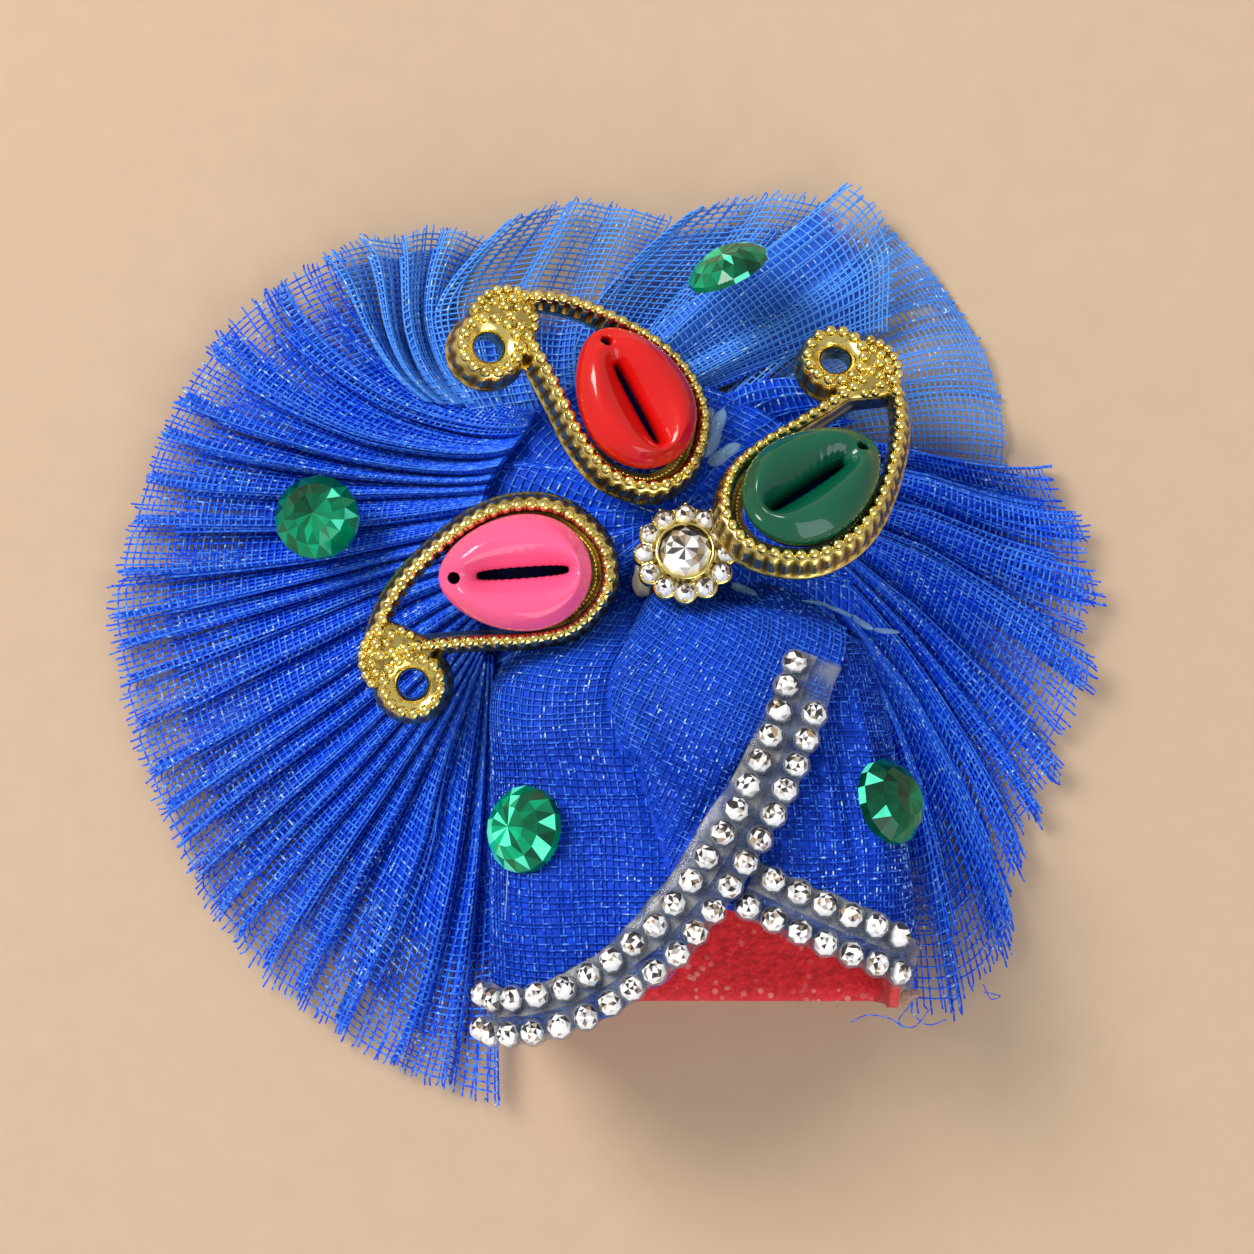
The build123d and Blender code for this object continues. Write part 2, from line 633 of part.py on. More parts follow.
def crown():
    """All the crown's pieces by name."""
    long_line = route_line(LONG_ROUTE, LEFT_FLAP)
    short_line = route_line(SHORT_ROUTE, RIGHT_FLAP)
    pieces = dict(
        cap_shell=cap_shell(),
        left_wrap=flap_sheet(LEFT_FLAP, -FLAP_SIDE, LEFT_EDGE[-1]["across"], 28),
        right_wrap=flap_sheet(RIGHT_FLAP, RIGHT_EDGE[0]["across"], FLAP_SIDE, 18),
        net_fan=net_fan(),
        long_trim=strip(long_line, 26),
        short_trim=strip(short_line, 10),
        long_trim_stones=Compound(strip_stones(long_line, LONG_STONE_ROWS)),
        short_trim_stones=Compound(strip_stones(short_line, SHORT_STONE_ROWS)),
    )
    frame = paisley_frame()
    shell = cowrie()
    size = PAISLEY_LENGTH
    for colour, row in FRAME_SEATS.items():
        place = root_seat(row)
        inside = (Pos(COWRIE_SEAT["x"] * size, COWRIE_SEAT["y"] * size,
                      COWRIE_SEAT["lift"] * FRAME_HEIGHT) * Rot(0, 0, COWRIE_SEAT["turn"]))
        pieces["paisley_frame_" + colour] = place * frame
        pieces["cowrie_" + colour] = place * inside * shell
    flower = root_seat(FLOWER_SEAT)
    lift = Pos(0, 0, SETTING_WALL + STONE_GAP)
    pieces["flower_setting"] = flower * flower_setting()
    pieces["flower_petal_stones"] = Compound([flower * stone for stone in flower_petals()])
    pieces["flower_centre_stone"] = flower * lift * cut_stone(CENTRE_STONE, 2.2, 10)
    for name, row in FLAP_STONES.items():
        pieces[name] = flap_stone(LEFT_FLAP if row["across"] < 0 else RIGHT_FLAP, **row)
    for name, row in FAN_STONES.items():
        pieces[name] = fan_stone(row)
    return pieces


def main():
    """Centre the crown over the origin and write one file for each piece."""
    os.makedirs("parts", exist_ok=True)
    pieces = crown()
    box = Compound(list(pieces.values())).bounding_box()
    centre = Pos(-box.center().X, -box.center().Y, -box.min.Z)
    for name, piece in pieces.items():
        export_step(centre * piece, os.path.join("parts", name + ".step"))


if __name__ == "__main__":
    main()
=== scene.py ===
"""Looks of a small turban-style mukut crown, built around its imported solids.

The crown lies on its back. +Z is up out of its front, +Y runs from the cap's rim to the top of
the fan, and lengths in the tables are millimetres in construction axes, which differ from the
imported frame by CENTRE. Meshes are written in metres.
"""

import math

import bpy
import numpy as np
from bpy.props import FloatProperty, FloatVectorProperty, PointerProperty
from mathutils import Matrix, Vector


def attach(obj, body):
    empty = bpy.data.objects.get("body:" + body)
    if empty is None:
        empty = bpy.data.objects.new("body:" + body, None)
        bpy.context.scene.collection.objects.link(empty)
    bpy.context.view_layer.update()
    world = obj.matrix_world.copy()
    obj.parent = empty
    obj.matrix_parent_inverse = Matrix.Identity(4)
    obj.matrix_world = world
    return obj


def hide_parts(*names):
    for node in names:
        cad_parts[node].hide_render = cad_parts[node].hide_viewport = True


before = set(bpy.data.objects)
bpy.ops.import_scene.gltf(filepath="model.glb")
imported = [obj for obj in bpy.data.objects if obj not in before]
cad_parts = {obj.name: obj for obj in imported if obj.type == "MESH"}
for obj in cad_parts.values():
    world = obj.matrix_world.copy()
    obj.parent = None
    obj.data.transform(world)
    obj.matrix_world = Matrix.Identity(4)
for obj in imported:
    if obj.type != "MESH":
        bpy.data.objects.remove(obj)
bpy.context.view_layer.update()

bl_info = {
    "name": "Mukut crown",
    "version": (1, 0, 0),
    "blender": (4, 5, 0),
    "location": "View3D > Sidebar > Crown",
    "description": "Builds the looks of a net and felt mukut crown",
    "category": "Object",
}

MM = 0.001
CENTRE = np.array([0.458, 0.038, 0.0])
# Middle of the view from above, and how much of the floor it spans
CAMERA_X, CAMERA_Y, FLOOR_SPAN = 1.8, 2.15, 151.08
# Waves that add up to a wobble, their widest turn and phase, and what evens their sum
WAVES, WAVE_TURN, WAVE_SUM = 6, 6.283, 3.5

# Cap and flaps, as in the solids
CAP_LENGTH, CAP_WIDTH, CAP_HEIGHT = 53.0, 46.2, 27.0
CAP_CORNER, BACK_CORNER, CAP_CROWN = 7.5, 4.0, 0.8
RIM_SLANT, RIM_Y, CAP_X = 2.1, -42.7, 10.8
FELT_WALL, FELT_RETREAT, CLOTH_RETREAT = 1.2, 2.0, 0.8
NET_WALL, GAP, FLAP_SIDE = 1.0, 0.5, 1.95
CORNER_END, SIDE_END, BACK_END, BACK_MIDDLE = 1.19, 2.0, 2.3, 3.0
BULGE = 2.4
# Points round and along the felt cap, and across and along a flap
CAP_STEPS, FLAP_STEPS = (144, 49), (150, 100)
# The flaps' cloth goes on under the frames, and its last share turns down at the top fold
CLOTH_TUCK, TURN_SHARE, TURN_DROP = 0.995, 0.014, 1.4
# Where the left flap climbs over the right one, and how far round it takes to do so
CLIMB_START, CLIMB_SPAN = -0.52, 0.30
# A fold's length along the cap counts this much against its width across
FOLD_STRETCH = 2.2
# Weave of the left flap to the right of its valley: skew of the wefts and lean of the warps.
# To the left of it and on the right flap the warps have the plain lean
SKEW, BIAS, PLAIN_LEAN = 0.22, 1.15, -0.10
# Threads of the right flap lie this much closer
RIGHT_CLOSENESS = 0.72
# Warps are spaced at one share of the cap's length and lean about another. Leaning ones go on
# past the side by so many millimetres, of which so many go to a unit of the girth
WARP_LEVEL, LEAN_LEVEL, OVERRUN, GIRTH_UNIT = 0.40, 0.92, 26.0, 23.0
# Scatter of the warps in millimetres, and of the wefts as a share of the cap's length
WARP_SCATTER, WEFT_SCATTER = 0.14, 0.0020
# Girth past which the felt's V and its retreat from the edge have faded, and over how much
FELT_V_END, FELT_RETREAT_END, FELT_FADE = 1.9, 1.6, 0.5
# Valley of the left flap from bottom to top: share along, place across
VALLEY = np.array([(0.30, -0.13), (0.37, -0.16), (0.54, -0.26), (0.61, -0.36), (0.70, -0.40),
                   (0.80, -0.41), (0.94, -0.46)])
# Ridges and groove of the valley: place aside, half width, height in millimetres. They rise
# and fade along the cap from one place, over a share of its length
VALLEY_RIDGES = [(0.13, 0.085, 0.9), (-0.10, 0.06, 0.45), (0.0, 0.035, -0.9)]
VALLEY_START, VALLEY_RISE, VALLEY_END, VALLEY_FALL = 0.34, 0.10, 0.97, 0.06
# Top fold of the flaps: place across, share along
TOP_LIMIT = np.array([(-1.95, 0.74), (-1.0, 0.81), (-0.60, 0.88), (-0.25, 0.932), (0.0, 0.912),
                      (0.22, 0.896), (0.75, 0.862), (1.0, 0.825), (1.95, 0.78)])

# Cap sections: along, width, height, sideways shift, as shares
CAP_SECTIONS = np.array([
    (0.00, 1.000, 1.00, 0.000), (0.28, 0.985, 0.97, -0.008), (0.52, 0.955, 0.86, -0.022),
    (0.74, 0.900, 0.70, -0.044), (0.86, 0.710, 0.51, -0.014), (0.94, 0.450, 0.36, -0.020),
    (1.00, 0.260, 0.22, -0.054),
])
# Lower edges of the flaps: place round the girth, share of the cap's length
LEFT_EDGE = np.array([
    (-2.60, 0.000), (-0.90, 0.000), (-0.68, 0.006), (-0.42, 0.045), (-0.13, 0.160),
    (0.07, 0.280), (0.27, 0.405), (0.45, 0.525), (0.60, 0.630), (0.70, 0.730), (0.84, 0.830),
])
RIGHT_EDGE = np.array([
    (-0.16, 0.290), (0.10, 0.262), (0.40, 0.215), (0.74, 0.160), (0.96, 0.110),
    (1.30, 0.060), (2.60, 0.020),
])
# Folds of the left flap: middle across and along, half sizes, turn of the fold in degrees and
# rise as a share of the bulge's height
LEFT_FOLDS = [
    (0.12, 0.74, 0.42, 0.22, 0.0, 0.75), (-0.62, 0.74, 0.10, 0.20, 0.0, 0.30),
    (0.125, 0.516, 0.55, 0.035, 46.0, -0.35), (-0.75, 0.60, 0.16, 0.25, 0.0, 0.25),
    (0.10, 0.44, 0.30, 0.06, 46.0, 0.20),
]
RIGHT_FOLDS = [
    (0.62, 0.62, 0.05, 0.26, 0.0, 0.35), (0.84, 0.55, 0.05, 0.30, 0.0, 0.40),
    (0.73, 0.50, 0.06, 0.30, 0.0, -0.25),
]

# Fan, as in the solids
FAN_REACH, FAN_DEPTH, FAN_WALL = 67.0, 9.6, 1.0
ROOT_LIFT, ROOT_DEPTH, HUB_DROP = 9.2, 1.2, 4.9
# The second ply of a sheet: share of a pleat by which its folds move on, millimetres that it
# lies lower, and share by which it is shorter
PLY_SHIFT, PLY_DROP, PLY_SHORT = 0.14, 0.7, 0.10
# Share of the way out at which the pleats are fully open, and power of their opening. Share
# at which the root's lift has ended, its power, and how much the pleats flatten at the rim
OPEN_BY, OPEN_POWER, LIFT_END, LIFT_POWER, RIM_FLAT = 0.5, 0.8, 0.55, 1.5, 0.45
# Drift of the folds in pleats, unevenness of their heights, and ripple in millimetres
FOLD_DRIFT, FOLD_UNEVEN, RIPPLE = 0.10, 0.18, 0.22
# Steep side of a rim's tooth in pleats, and wobble of the rim and the second ply's retreat
# from it as shares of the way out
TOOTH_RISE, RIM_WOBBLE, RIM_RETREAT = 0.12, 0.010, 0.035
# Shares of the way out between which warps and wefts lie, and points of a warp
WARP_FROM, WARP_TO, WARP_STEPS, WEFT_FROM, WEFT_TO = 0.02, 0.995, 16, 0.05, 0.992
# Wander of a weft as a share of the way out, and its scatter as a share of the pitch
WEFT_WANDER, WEFT_JITTER = 0.006, 0.2
# Length in millimetres that a tooth of the rim is a share of, and the pleats' height limits
SHEET_LENGTH, LOWEST, HIGHEST = 52.0, 0.2, 13.0
# Scatter of the net's threads in pleats, and of their ends aside and in height
THREAD_SCATTER, END_ASIDE, END_HEIGHT = 0.022, 0.14, 0.15
# The dense layers' top and bottom lie so far below the net, and no lower than these heights
GROUND_DROPS, GROUND_FLOORS = (0.30, 0.42), (0.16, 0.08)
CLOSED_END = np.array([CAP_X + CAP_WIDTH * CAP_SECTIONS[-1][3], RIM_Y + CAP_LENGTH, 0.0])
FAN_HUB = CLOSED_END - np.array([0.0, HUB_DROP, 0.0])

# The fan is several overlapping sheets. Lift is how far the root stands over the level of the
# rim, in millimetres. Sharp turns round folds into creases, saw is the side on which the rim's
# teeth are steep, pale sheets are lighter, and cover is where the dense layers begin to open
# and where they end, as shares of the way out. Each row is one guide fold: four places from
# root to rim, across and down the view from above in units of PLAN_UNIT, then the pleats up
# to the next guide, the fold's depth and the rim's tooth in millimetres, and how far it leans
PLAN_UNIT, PLAN_X, PLAN_Y = 1 / 8.38, 627.0, 627.0
FAN_SHEETS = {
    "left": dict(lift=9.2, level=0.9, sharp=0.35, plies=2, cover=(0.42, 0.76), saw=-1, guides=[
        (496, 655, 494, 800, 495, 950, 498, 1100, 2, 4.0, 1.2, 0.7),
        (489, 654, 470, 800, 435, 950, 392, 1066, 1, 3.4, 0.8, 0.4),
        (488, 652, 440, 770, 385, 895, 330, 1028, 3, 3.9, 2.2, 0.65),
        (486, 632, 405, 735, 318, 830, 232, 936, 4, 4.2, 2.4, 0.7),
        (484, 600, 384, 662, 270, 735, 163, 806, 3, 4.2, 2.2, 0.7),
        (484, 566, 372, 592, 250, 634, 124, 680, 3, 4.0, 2.0, 0.6),
        (486, 530, 380, 546, 250, 562, 120, 572, 2, 4.4, 1.8, 0.6),
        (490, 496, 390, 494, 262, 484, 150, 468, 2, 4.4, 1.2, 0.6),
        (500, 474, 408, 468, 292, 436, 181, 390, 1, 6.0, 0.8, 0.7),
        (512, 456, 430, 448, 320, 402, 224, 332, 1, 6.6, 0.8, 0.8),
        (526, 438, 452, 424, 352, 372, 280, 284, 1, 6.8, 0.8, 0.8),
        (540, 415, 482, 398, 400, 350, 345, 246, 0, 4.0, 0.6, 0.2),
    ]),
    "tubes": dict(lift=4.0, level=0.7, sharp=0.1, plies=2, pale=True, cover=(0.1, 0.6), guides=[
        (426, 404, 378, 352, 352, 300, 322, 258, 1, 4.0, 0.8, 0.3),
        (440, 406, 394, 352, 378, 292, 358, 240, 1, 6.2, 0.8, 0.35),
        (452, 408, 410, 352, 402, 290, 398, 236, 1, 6.2, 0.8, 0.35),
        (470, 408, 430, 344, 428, 280, 440, 224, 1, 4.6, 0.8, 0.2),
        (486, 408, 452, 344, 462, 284, 490, 238, 0, 2.0, 0.4, 0.0),
    ]),
    "dome": dict(lift=3.0, level=1.6, sharp=0.0, plies=1, pale=True, cover=(0.1, 0.5), guides=[
        (470, 430, 434, 340, 452, 280, 506, 222, 1, 4.5, 0.4, 0.5),
        (520, 420, 500, 330, 520, 266, 560, 204, 1, 3.2, 0.6, 0.2),
        (566, 410, 556, 330, 578, 262, 610, 204, 1, 3.0, 0.4, 0.2),
        (610, 400, 608, 330, 640, 266, 672, 216, 0, 2.0, 0.4, 0.0),
    ]),
    "crest": dict(lift=3.0, level=1.2, sharp=0.1, plies=2, pale=True, cover=(0.1, 0.6), guides=[
        (560, 420, 580, 336, 622, 272, 690, 212, 1, 5.0, 0.4, 0.8),
        (610, 420, 640, 340, 694, 270, 752, 196, 1, 3.0, 0.8, 0.3),
        (650, 420, 700, 346, 766, 272, 830, 200, 0, 2.0, 0.4, 0.0),
    ]),
    "veil": dict(lift=5.0, level=0.5, sharp=0.0, plies=1, cover=None, pale=True, guides=[
        (690, 430, 766, 350, 836, 276, 888, 220, 1, 1.6, 0.4, 0.0),
        (706, 440, 800, 372, 892, 320, 958, 304, 1, 2.0, 0.6, 0.0),
        (716, 450, 826, 410, 920, 386, 1000, 392, 1, 1.6, 0.4, 0.0),
        (726, 470, 840, 452, 930, 458, 1010, 470, 0, 1.0, 0.4, 0.0),
    ]),
    "leaf": dict(lift=4.2, level=3.4, sharp=0.0, plies=2, pale=True, cover=(0.62, 1.0), guides=[
        (616, 366, 686, 306, 760, 254, 842, 187, 1, 2.6, 0.6, 0.5),
        (640, 392, 716, 344, 800, 292, 882, 224, 1, 2.2, 1.0, 0.2),
        (664, 410, 740, 378, 820, 344, 889, 332, 0, 0.8, 0.4, 0.0),
    ]),
    "roll": dict(lift=3.0, level=4.6, sharp=0.0, plies=1, cover=(0.9, 1.4), guides=[
        (672, 410, 716, 400, 766, 382, 815, 388, 1, 5.2, 0.0, 0.6),
        (676, 480, 726, 470, 786, 446, 850, 424, 0, 2.0, 0.0, 0.0),
    ]),
    "right": dict(lift=9.2, level=0.9, sharp=0.3, plies=2, cover=(0.48, 0.78), saw=1, guides=[
        (800, 436, 880, 444, 965, 462, 1046, 466, 1, 4.2, 2.2, 0.5),
        (798, 452, 885, 474, 985, 510, 1080, 532, 1, 5.4, 3.6, 0.8),
        (794, 470, 880, 508, 985, 560, 1094, 602, 1, 6.0, 4.0, 0.9),
        (790, 490, 876, 544, 980, 616, 1086, 692, 1, 6.2, 4.0, 0.9),
        (786, 510, 872, 578, 966, 674, 1054, 776, 2, 5.4, 3.6, 0.7),
        (782, 530, 868, 608, 952, 728, 1022, 860, 1, 5.6, 3.4, 0.7),
        (778, 550, 868, 650, 940, 788, 1000, 962, 1, 5.8, 2.4, 0.7),
        (774, 566, 872, 676, 922, 826, 956, 1006, 1, 6.6, 1.6, 0.9),
        (770, 576, 862, 690, 900, 838, 908, 1014, 0, 4.0, 0.8, 0.2),
    ]),
}
# Top fold of the left flap, seen from above, and the gathered cloth's outline under the frames
TOP_FOLD = np.array([(480, 668), (515, 650), (560, 622), (620, 590), (700, 604), (790, 622),
                     (862, 642), (900, 690)], float)
GATHER = np.array([
    (478, 680), (468, 600), (474, 500), (520, 424), (600, 380), (690, 384), (780, 424),
    (830, 480), (846, 550), (852, 610), (840, 680), (770, 640), (690, 620), (560, 650),
], float)
GATHER_MIDDLE = np.array([672.0, 520.0])
# Rings and spokes of the gathered cloth's mesh, and points round one of its threads
GATHER_RINGS, GATHER_SPOKES, GATHER_STEPS = 26, 120, 241
# Height of its middle, how far its edge falls, its folds' count and relief, and the depth of
# the gap above the left flap's top fold, which starts and spreads so many plan units above it
GATHER_HEIGHT, GATHER_FALL, GATHER_FOLDS, GATHER_RELIEF = 11.9, 4.4, 19, 0.40
GAP_DEPTH, GAP_PLACE, GAP_SPREAD = 2.4, 8.0, 9.0

# Set drops of glue: across and down the view from above, height, half sizes, turn and finish
GLUE_DROPS = [
    (641, 583, 13.0, (0.95, 1.9, 0.7), 12.0, "cream glue"),
    (526, 653, 12.6, (1.3, 0.8, 0.5), 30.0, "clear glue"),
    (712, 436, 12.9, (1.15, 2.7, 0.9), -22.0, "clear glue"),
    (722, 458, 12.7, (2.1, 0.9, 0.8), 36.0, "clear glue"),
    (706, 418, 12.9, (0.8, 0.9, 0.6), 10.0, "clear glue"),
    (742, 591, 12.8, (1.9, 0.55, 0.5), -25.0, "clear glue"),
    (812, 603, 12.7, (1.7, 0.22, 0.22), -10.0, "clear glue"),
    (835, 611, 12.5, (1.7, 0.28, 0.25), -24.0, "clear glue"),
    (858, 623, 12.0, (1.6, 0.36, 0.30), -34.0, "clear glue"),
    (882, 631, 11.0, (1.6, 0.34, 0.30), -8.0, "clear glue"),
    (896, 980, 24.2, (1.3, 0.8, 0.5), 15.0, "brown glue"),
]
# Places along the nylon threads and the net's loose threads, each across, down and up
NYLON_THREADS = [
    ((541, 648, 13.4), (528, 700, 17.8), (517, 790, 22.4), (511, 905, 25.6)),
    ((546, 562, 17.6), (575, 576, 18.4), (588, 592, 18.2), (590, 604, 16.8)),
]
LOOSE_THREADS = [
    ((650, 970, 27.0), (664, 962, 28.0), (671, 950, 28.4), (662, 938, 28.8)),
    ((842, 1006, 22.5), (858, 1000, 21.6), (880, 1004, 20.8), (894, 1014, 19.6)),
    ((902, 985, 14.5), (908, 1006, 12.0), (924, 1020, 9.6), (944, 1016, 8.4)),
    ((906, 1000, 10.5), (896, 1018, 8.5), (912, 1024, 7.4), (930, 1004, 7.0)),
    ((984, 985, 3.5), (992, 1000, 2.6), (1002, 998, 2.0), (986, 994, 1.8)),
    ((930, 706, 7.0), (950, 730, 7.6), (968, 752, 7.6), (980, 765, 7.0)),
]

# Paisley frames: side, out, above, turn, lean, towards, as in the solids
PAISLEY_LENGTH, FRAME_HEIGHT = 32.4, 4.2
FRAME_SEATS = {
    "red": (-0.176, 0.472, 0.03, 155.5, 19.0, 42.0),
    "green": (0.389, 0.164, 0.58, 74.0, 26.0, 86.0),
    "pink": (-0.522, -0.052, 0.37, 222.0, 4.0, -60.0),
}
FLOWER_SEAT = (0.009, 0.0, 0.33, 0.0, 17.0, 95.0)


# Sizes and colours


def length_choice(name, description, default):
    """A length in metres that a maker may change."""
    return FloatProperty(name=name, description=description, default=default, unit="LENGTH")


def colour_choice(name, description, default):
    """A colour that a maker may change."""
    return FloatVectorProperty(name=name, description=description, default=default,
                               subtype="COLOR")


class CrownSizes(bpy.types.PropertyGroup):
    """Sizes that a maker may change."""

    thread_pitch: length_choice("Thread pitch", "Distance between the net's threads", 0.00084)
    thread_width: length_choice("Thread width", "Diameter of one thread of the net", 0.00025)
    fray_length: length_choice("Fray length", "Longest loose thread end at the rim", 0.0007)
    floor_width: length_choice("Floor width", "Width of the floor under the crown", 1.6)
    camera_height: length_choice("Camera height", "Height of the camera over the floor", 0.45)


class CrownColours(bpy.types.PropertyGroup):
    """Colours that a maker may change."""

    net: colour_choice("Net", "Royal blue of the net's threads", (0.004, 0.078, 0.84))
    # Painted highlights: this pale blue lightens the net's crests and colours its glints; mixed
    # in, it is also the colour of the pale sheets' threads
    net_light: colour_choice("Net highlights", "Pale blue of the tinsel", (0.09, 0.34, 1.0))
    felt: colour_choice("Felt", "Red of the felt cap", (0.92, 0.028, 0.038))
    gold: colour_choice("Gold", "Gold plating", (0.97, 0.78, 0.25))
    red: colour_choice("Red shell", "Red of the red cowrie", (0.60, 0.004, 0.003))
    green: colour_choice("Green shell", "Green of the green cowrie", (0.0, 0.092, 0.046))
    pink: colour_choice("Pink shell", "Pink of the pink cowrie", (0.93, 0.105, 0.26))
    emerald: colour_choice("Emerald", "Green of the round stones", (0.0, 0.30, 0.13))
    floor: colour_choice("Floor", "Plain pale floor", (0.535, 0.388, 0.264))


# Materials


class Value:
    """A shader socket that can be used in Python sums."""

    def __init__(self, paint, socket):
        self.paint, self.socket = paint, socket

    def sum(self, operation, *parts):
        """Add one Math node that works on values and numbers."""
        node = self.paint.add("ShaderNodeMath", {"operation": operation}, dict(enumerate(parts)))
        return Value(self.paint, node.outputs[0])

    def __add__(self, other):
        return self.sum("ADD", self, other)

    def __radd__(self, other):
        return self.sum("ADD", other, self)

    def __sub__(self, other):
        return self.sum("SUBTRACT", self, other)

    def __rsub__(self, other):
        return self.sum("SUBTRACT", other, self)

    def __mul__(self, other):
        return self.sum("MULTIPLY", self, other)

    def __rmul__(self, other):
        return self.sum("MULTIPLY", other, self)

    def above(self, edge, soft):
        """Rise from 0 to 1 over a soft step that starts at an edge."""
        share = self.sum("DIVIDE", self - edge, soft)
        return self.sum("MINIMUM", self.sum("MAXIMUM", share, 0.0), 1.0)


class Paint:
    """One material and the nodes that make its finish."""

    def __init__(self, name):
        self.material = bpy.data.materials.new(name)
        self.material.use_nodes = True
        self.tree = self.material.node_tree
        self.tree.nodes.clear()
        self.place = self.add("ShaderNodeTexCoord").outputs["Object"]

    def add(self, kind, settings=None, inputs=None):
        """Add one node: its settings first, then the values or links of its sockets."""
        node = self.tree.nodes.new(kind)
        for key, value in (settings or {}).items():
            if key == "stops":
                ramp = node.color_ramp
                while len(ramp.elements) < len(value):
                    ramp.elements.new(1.0)
                for element, (position, colour) in zip(ramp.elements, value):
                    element.position, element.color = position, (*colour, 1.0)
            else:
                setattr(node, key, value)
        for key, value in (inputs or {}).items():
            if isinstance(value, Value):
                value = value.socket
            if isinstance(value, bpy.types.NodeSocket):
                self.tree.links.new(value, node.inputs[key])
            else:
                socket = node.inputs[key]
                if socket.type == "RGBA" and len(value) == 3:
                    value = (*value, 1.0)
                socket.default_value = value
        return node

    def noise(self, scale, detail=2.0, rough=0.5, place=None):
        """Soft noise over the object, or over a place of its own."""
        node = self.add("ShaderNodeTexNoise", {}, {
            "Vector": place or self.place, "Scale": scale, "Detail": detail,
            "Roughness": rough})
        return Value(self, node.outputs["Fac"])

    def cells(self, scale):
        """Distance to the nearest of many scattered spots."""
        node = self.add("ShaderNodeTexVoronoi", {}, {"Vector": self.place, "Scale": scale})
        return Value(self, node.outputs["Distance"])

    def attribute(self, name):
        """A named value of the mesh."""
        node = self.add("ShaderNodeAttribute", {"attribute_name": name})
        return Value(self, node.outputs["Fac"])

    def ramp(self, factor, stops):
        """Colour from a ramp with the given stops."""
        return self.add("ShaderNodeValToRGB", {"stops": stops}, {"Fac": factor}).outputs[0]

    def mix(self, factor, first, second):
        """Mix two colours by a factor."""
        node = self.add("ShaderNodeMix", {"data_type": "RGBA"}, {0: factor, 6: first, 7: second})
        return node.outputs[2]

    def bump(self, height, strength, distance):
        """Small relief from a value."""
        return self.add("ShaderNodeBump", {}, {
            "Height": height, "Strength": strength, "Distance": distance}).outputs["Normal"]

    def finish(self, inputs):
        """Close the material with a Principled shader."""
        shader = self.add("ShaderNodeBsdfPrincipled", {}, inputs)
        self.add("ShaderNodeOutputMaterial", {}, {"Surface": shader.outputs[0]})
        return self.material


def tint(colour, factor):
    """A colour made lighter or darker."""
    return tuple(min(channel * factor, 1.0) for channel in colour[:3])


def mixed(first, second, share):
    """A colour between two others."""
    return tuple(a + share * (b - a) for a, b in zip(first, second))


def net_thread(name, colour, light, glint, bright):
    """Blue thread of the net with painted tinsel glints, and whiter ones from two levels of noise
    up.
    """
    paint = Paint(name)
    soft = paint.noise(60.0, 3.0)
    track = paint.add("ShaderNodeCombineXYZ", {}, {
        "X": paint.attribute("strand") * 91.0, "Y": paint.attribute("along")}).outputs[0]
    dash = paint.noise(1.15, 1.0, 0.5, track)
    patches = paint.noise(95.0, 2.0)
    flecks_and_glints = dash.above(glint, 0.06)
    white = dash.above(bright, 0.03) * patches.above(0.44, 0.10)
    crest = paint.attribute("crest")
    body = paint.mix(soft.above(0.35, 0.35), tint(colour, 0.80), tint(colour, 1.20))
    # Painted shade and highlight: darker where the crest value is low, as in the folds' valleys,
    # and lighter where it is high, as on their crests
    body = paint.mix((1.0 - crest).above(0.82, 0.18) * 0.22, body, tint(colour, 0.45))
    body = paint.mix(crest.above(0.78, 0.14) * 0.30, body, light)
    # Painted glints: pale dashes along each thread, and whiter ones in patches
    body = paint.mix(flecks_and_glints * 0.75, body, light)
    body = paint.mix(white, body, (0.48, 0.70, 1.0))
    return paint.finish({
        "Base Color": body, "Roughness": 0.50 - 0.22 * flecks_and_glints, "Specular IOR Level": 0.18,
    })


def net_ground(name, colour, fading):
    """Dense blue cloth of several layers of net, with painted shade where its crest value is low;
    a fading one opens towards its rim.
    """
    paint = Paint(name)
    soft = paint.noise(45.0, 3.0)
    weave = paint.noise(1300.0, 1.5)
    crest = paint.attribute("crest")
    body = paint.mix(soft.above(0.30, 0.40), tint(colour, 0.62), tint(colour, 1.0))
    body = paint.mix(weave.above(0.48, 0.20) * 0.45, body, tint(colour, 1.5))
    # Painted shade: darker where the crest value is low, in the folds' valleys, where a flap turns
    # under and in the gap by the top fold
    body = paint.mix((1.0 - crest).above(0.84, 0.16) * 0.20, body, tint(colour, 0.5))
    inputs = {
        "Base Color": body, "Roughness": 0.65, "Specular IOR Level": 0.15,
        "Normal": paint.bump(weave, 0.5, 0.0003),
    }
    if fading:
        cover = paint.attribute("cover")
        inputs["Alpha"] = (cover * 1.6 - weave * 0.6).above(0.0, 0.55)
    return paint.finish(inputs)


def felt_paint(colour):
    """Matted red felt."""
    paint = Paint("red felt")
    fibres = paint.noise(900.0, 4.0, 0.7)
    clouds = paint.noise(120.0, 3.0)
    flecks_and_glints = paint.cells(820.0).above(0.22, 0.12)
    body = paint.mix(fibres.above(0.35, 0.35), tint(colour, 0.55), tint(colour, 1.20))
    body = paint.mix(clouds.above(0.45, 0.25) * 0.4, body, tint(colour, 1.5))
    body = paint.mix((1.0 - flecks_and_glints) * clouds.above(0.42, 0.2) * 0.6, body, (0.95, 0.50, 0.42))
    return paint.finish({
        "Base Color": body, "Roughness": 0.95, "Sheen Weight": 0.15,
        "Normal": paint.bump(fibres, 0.8, 0.0006),
    })


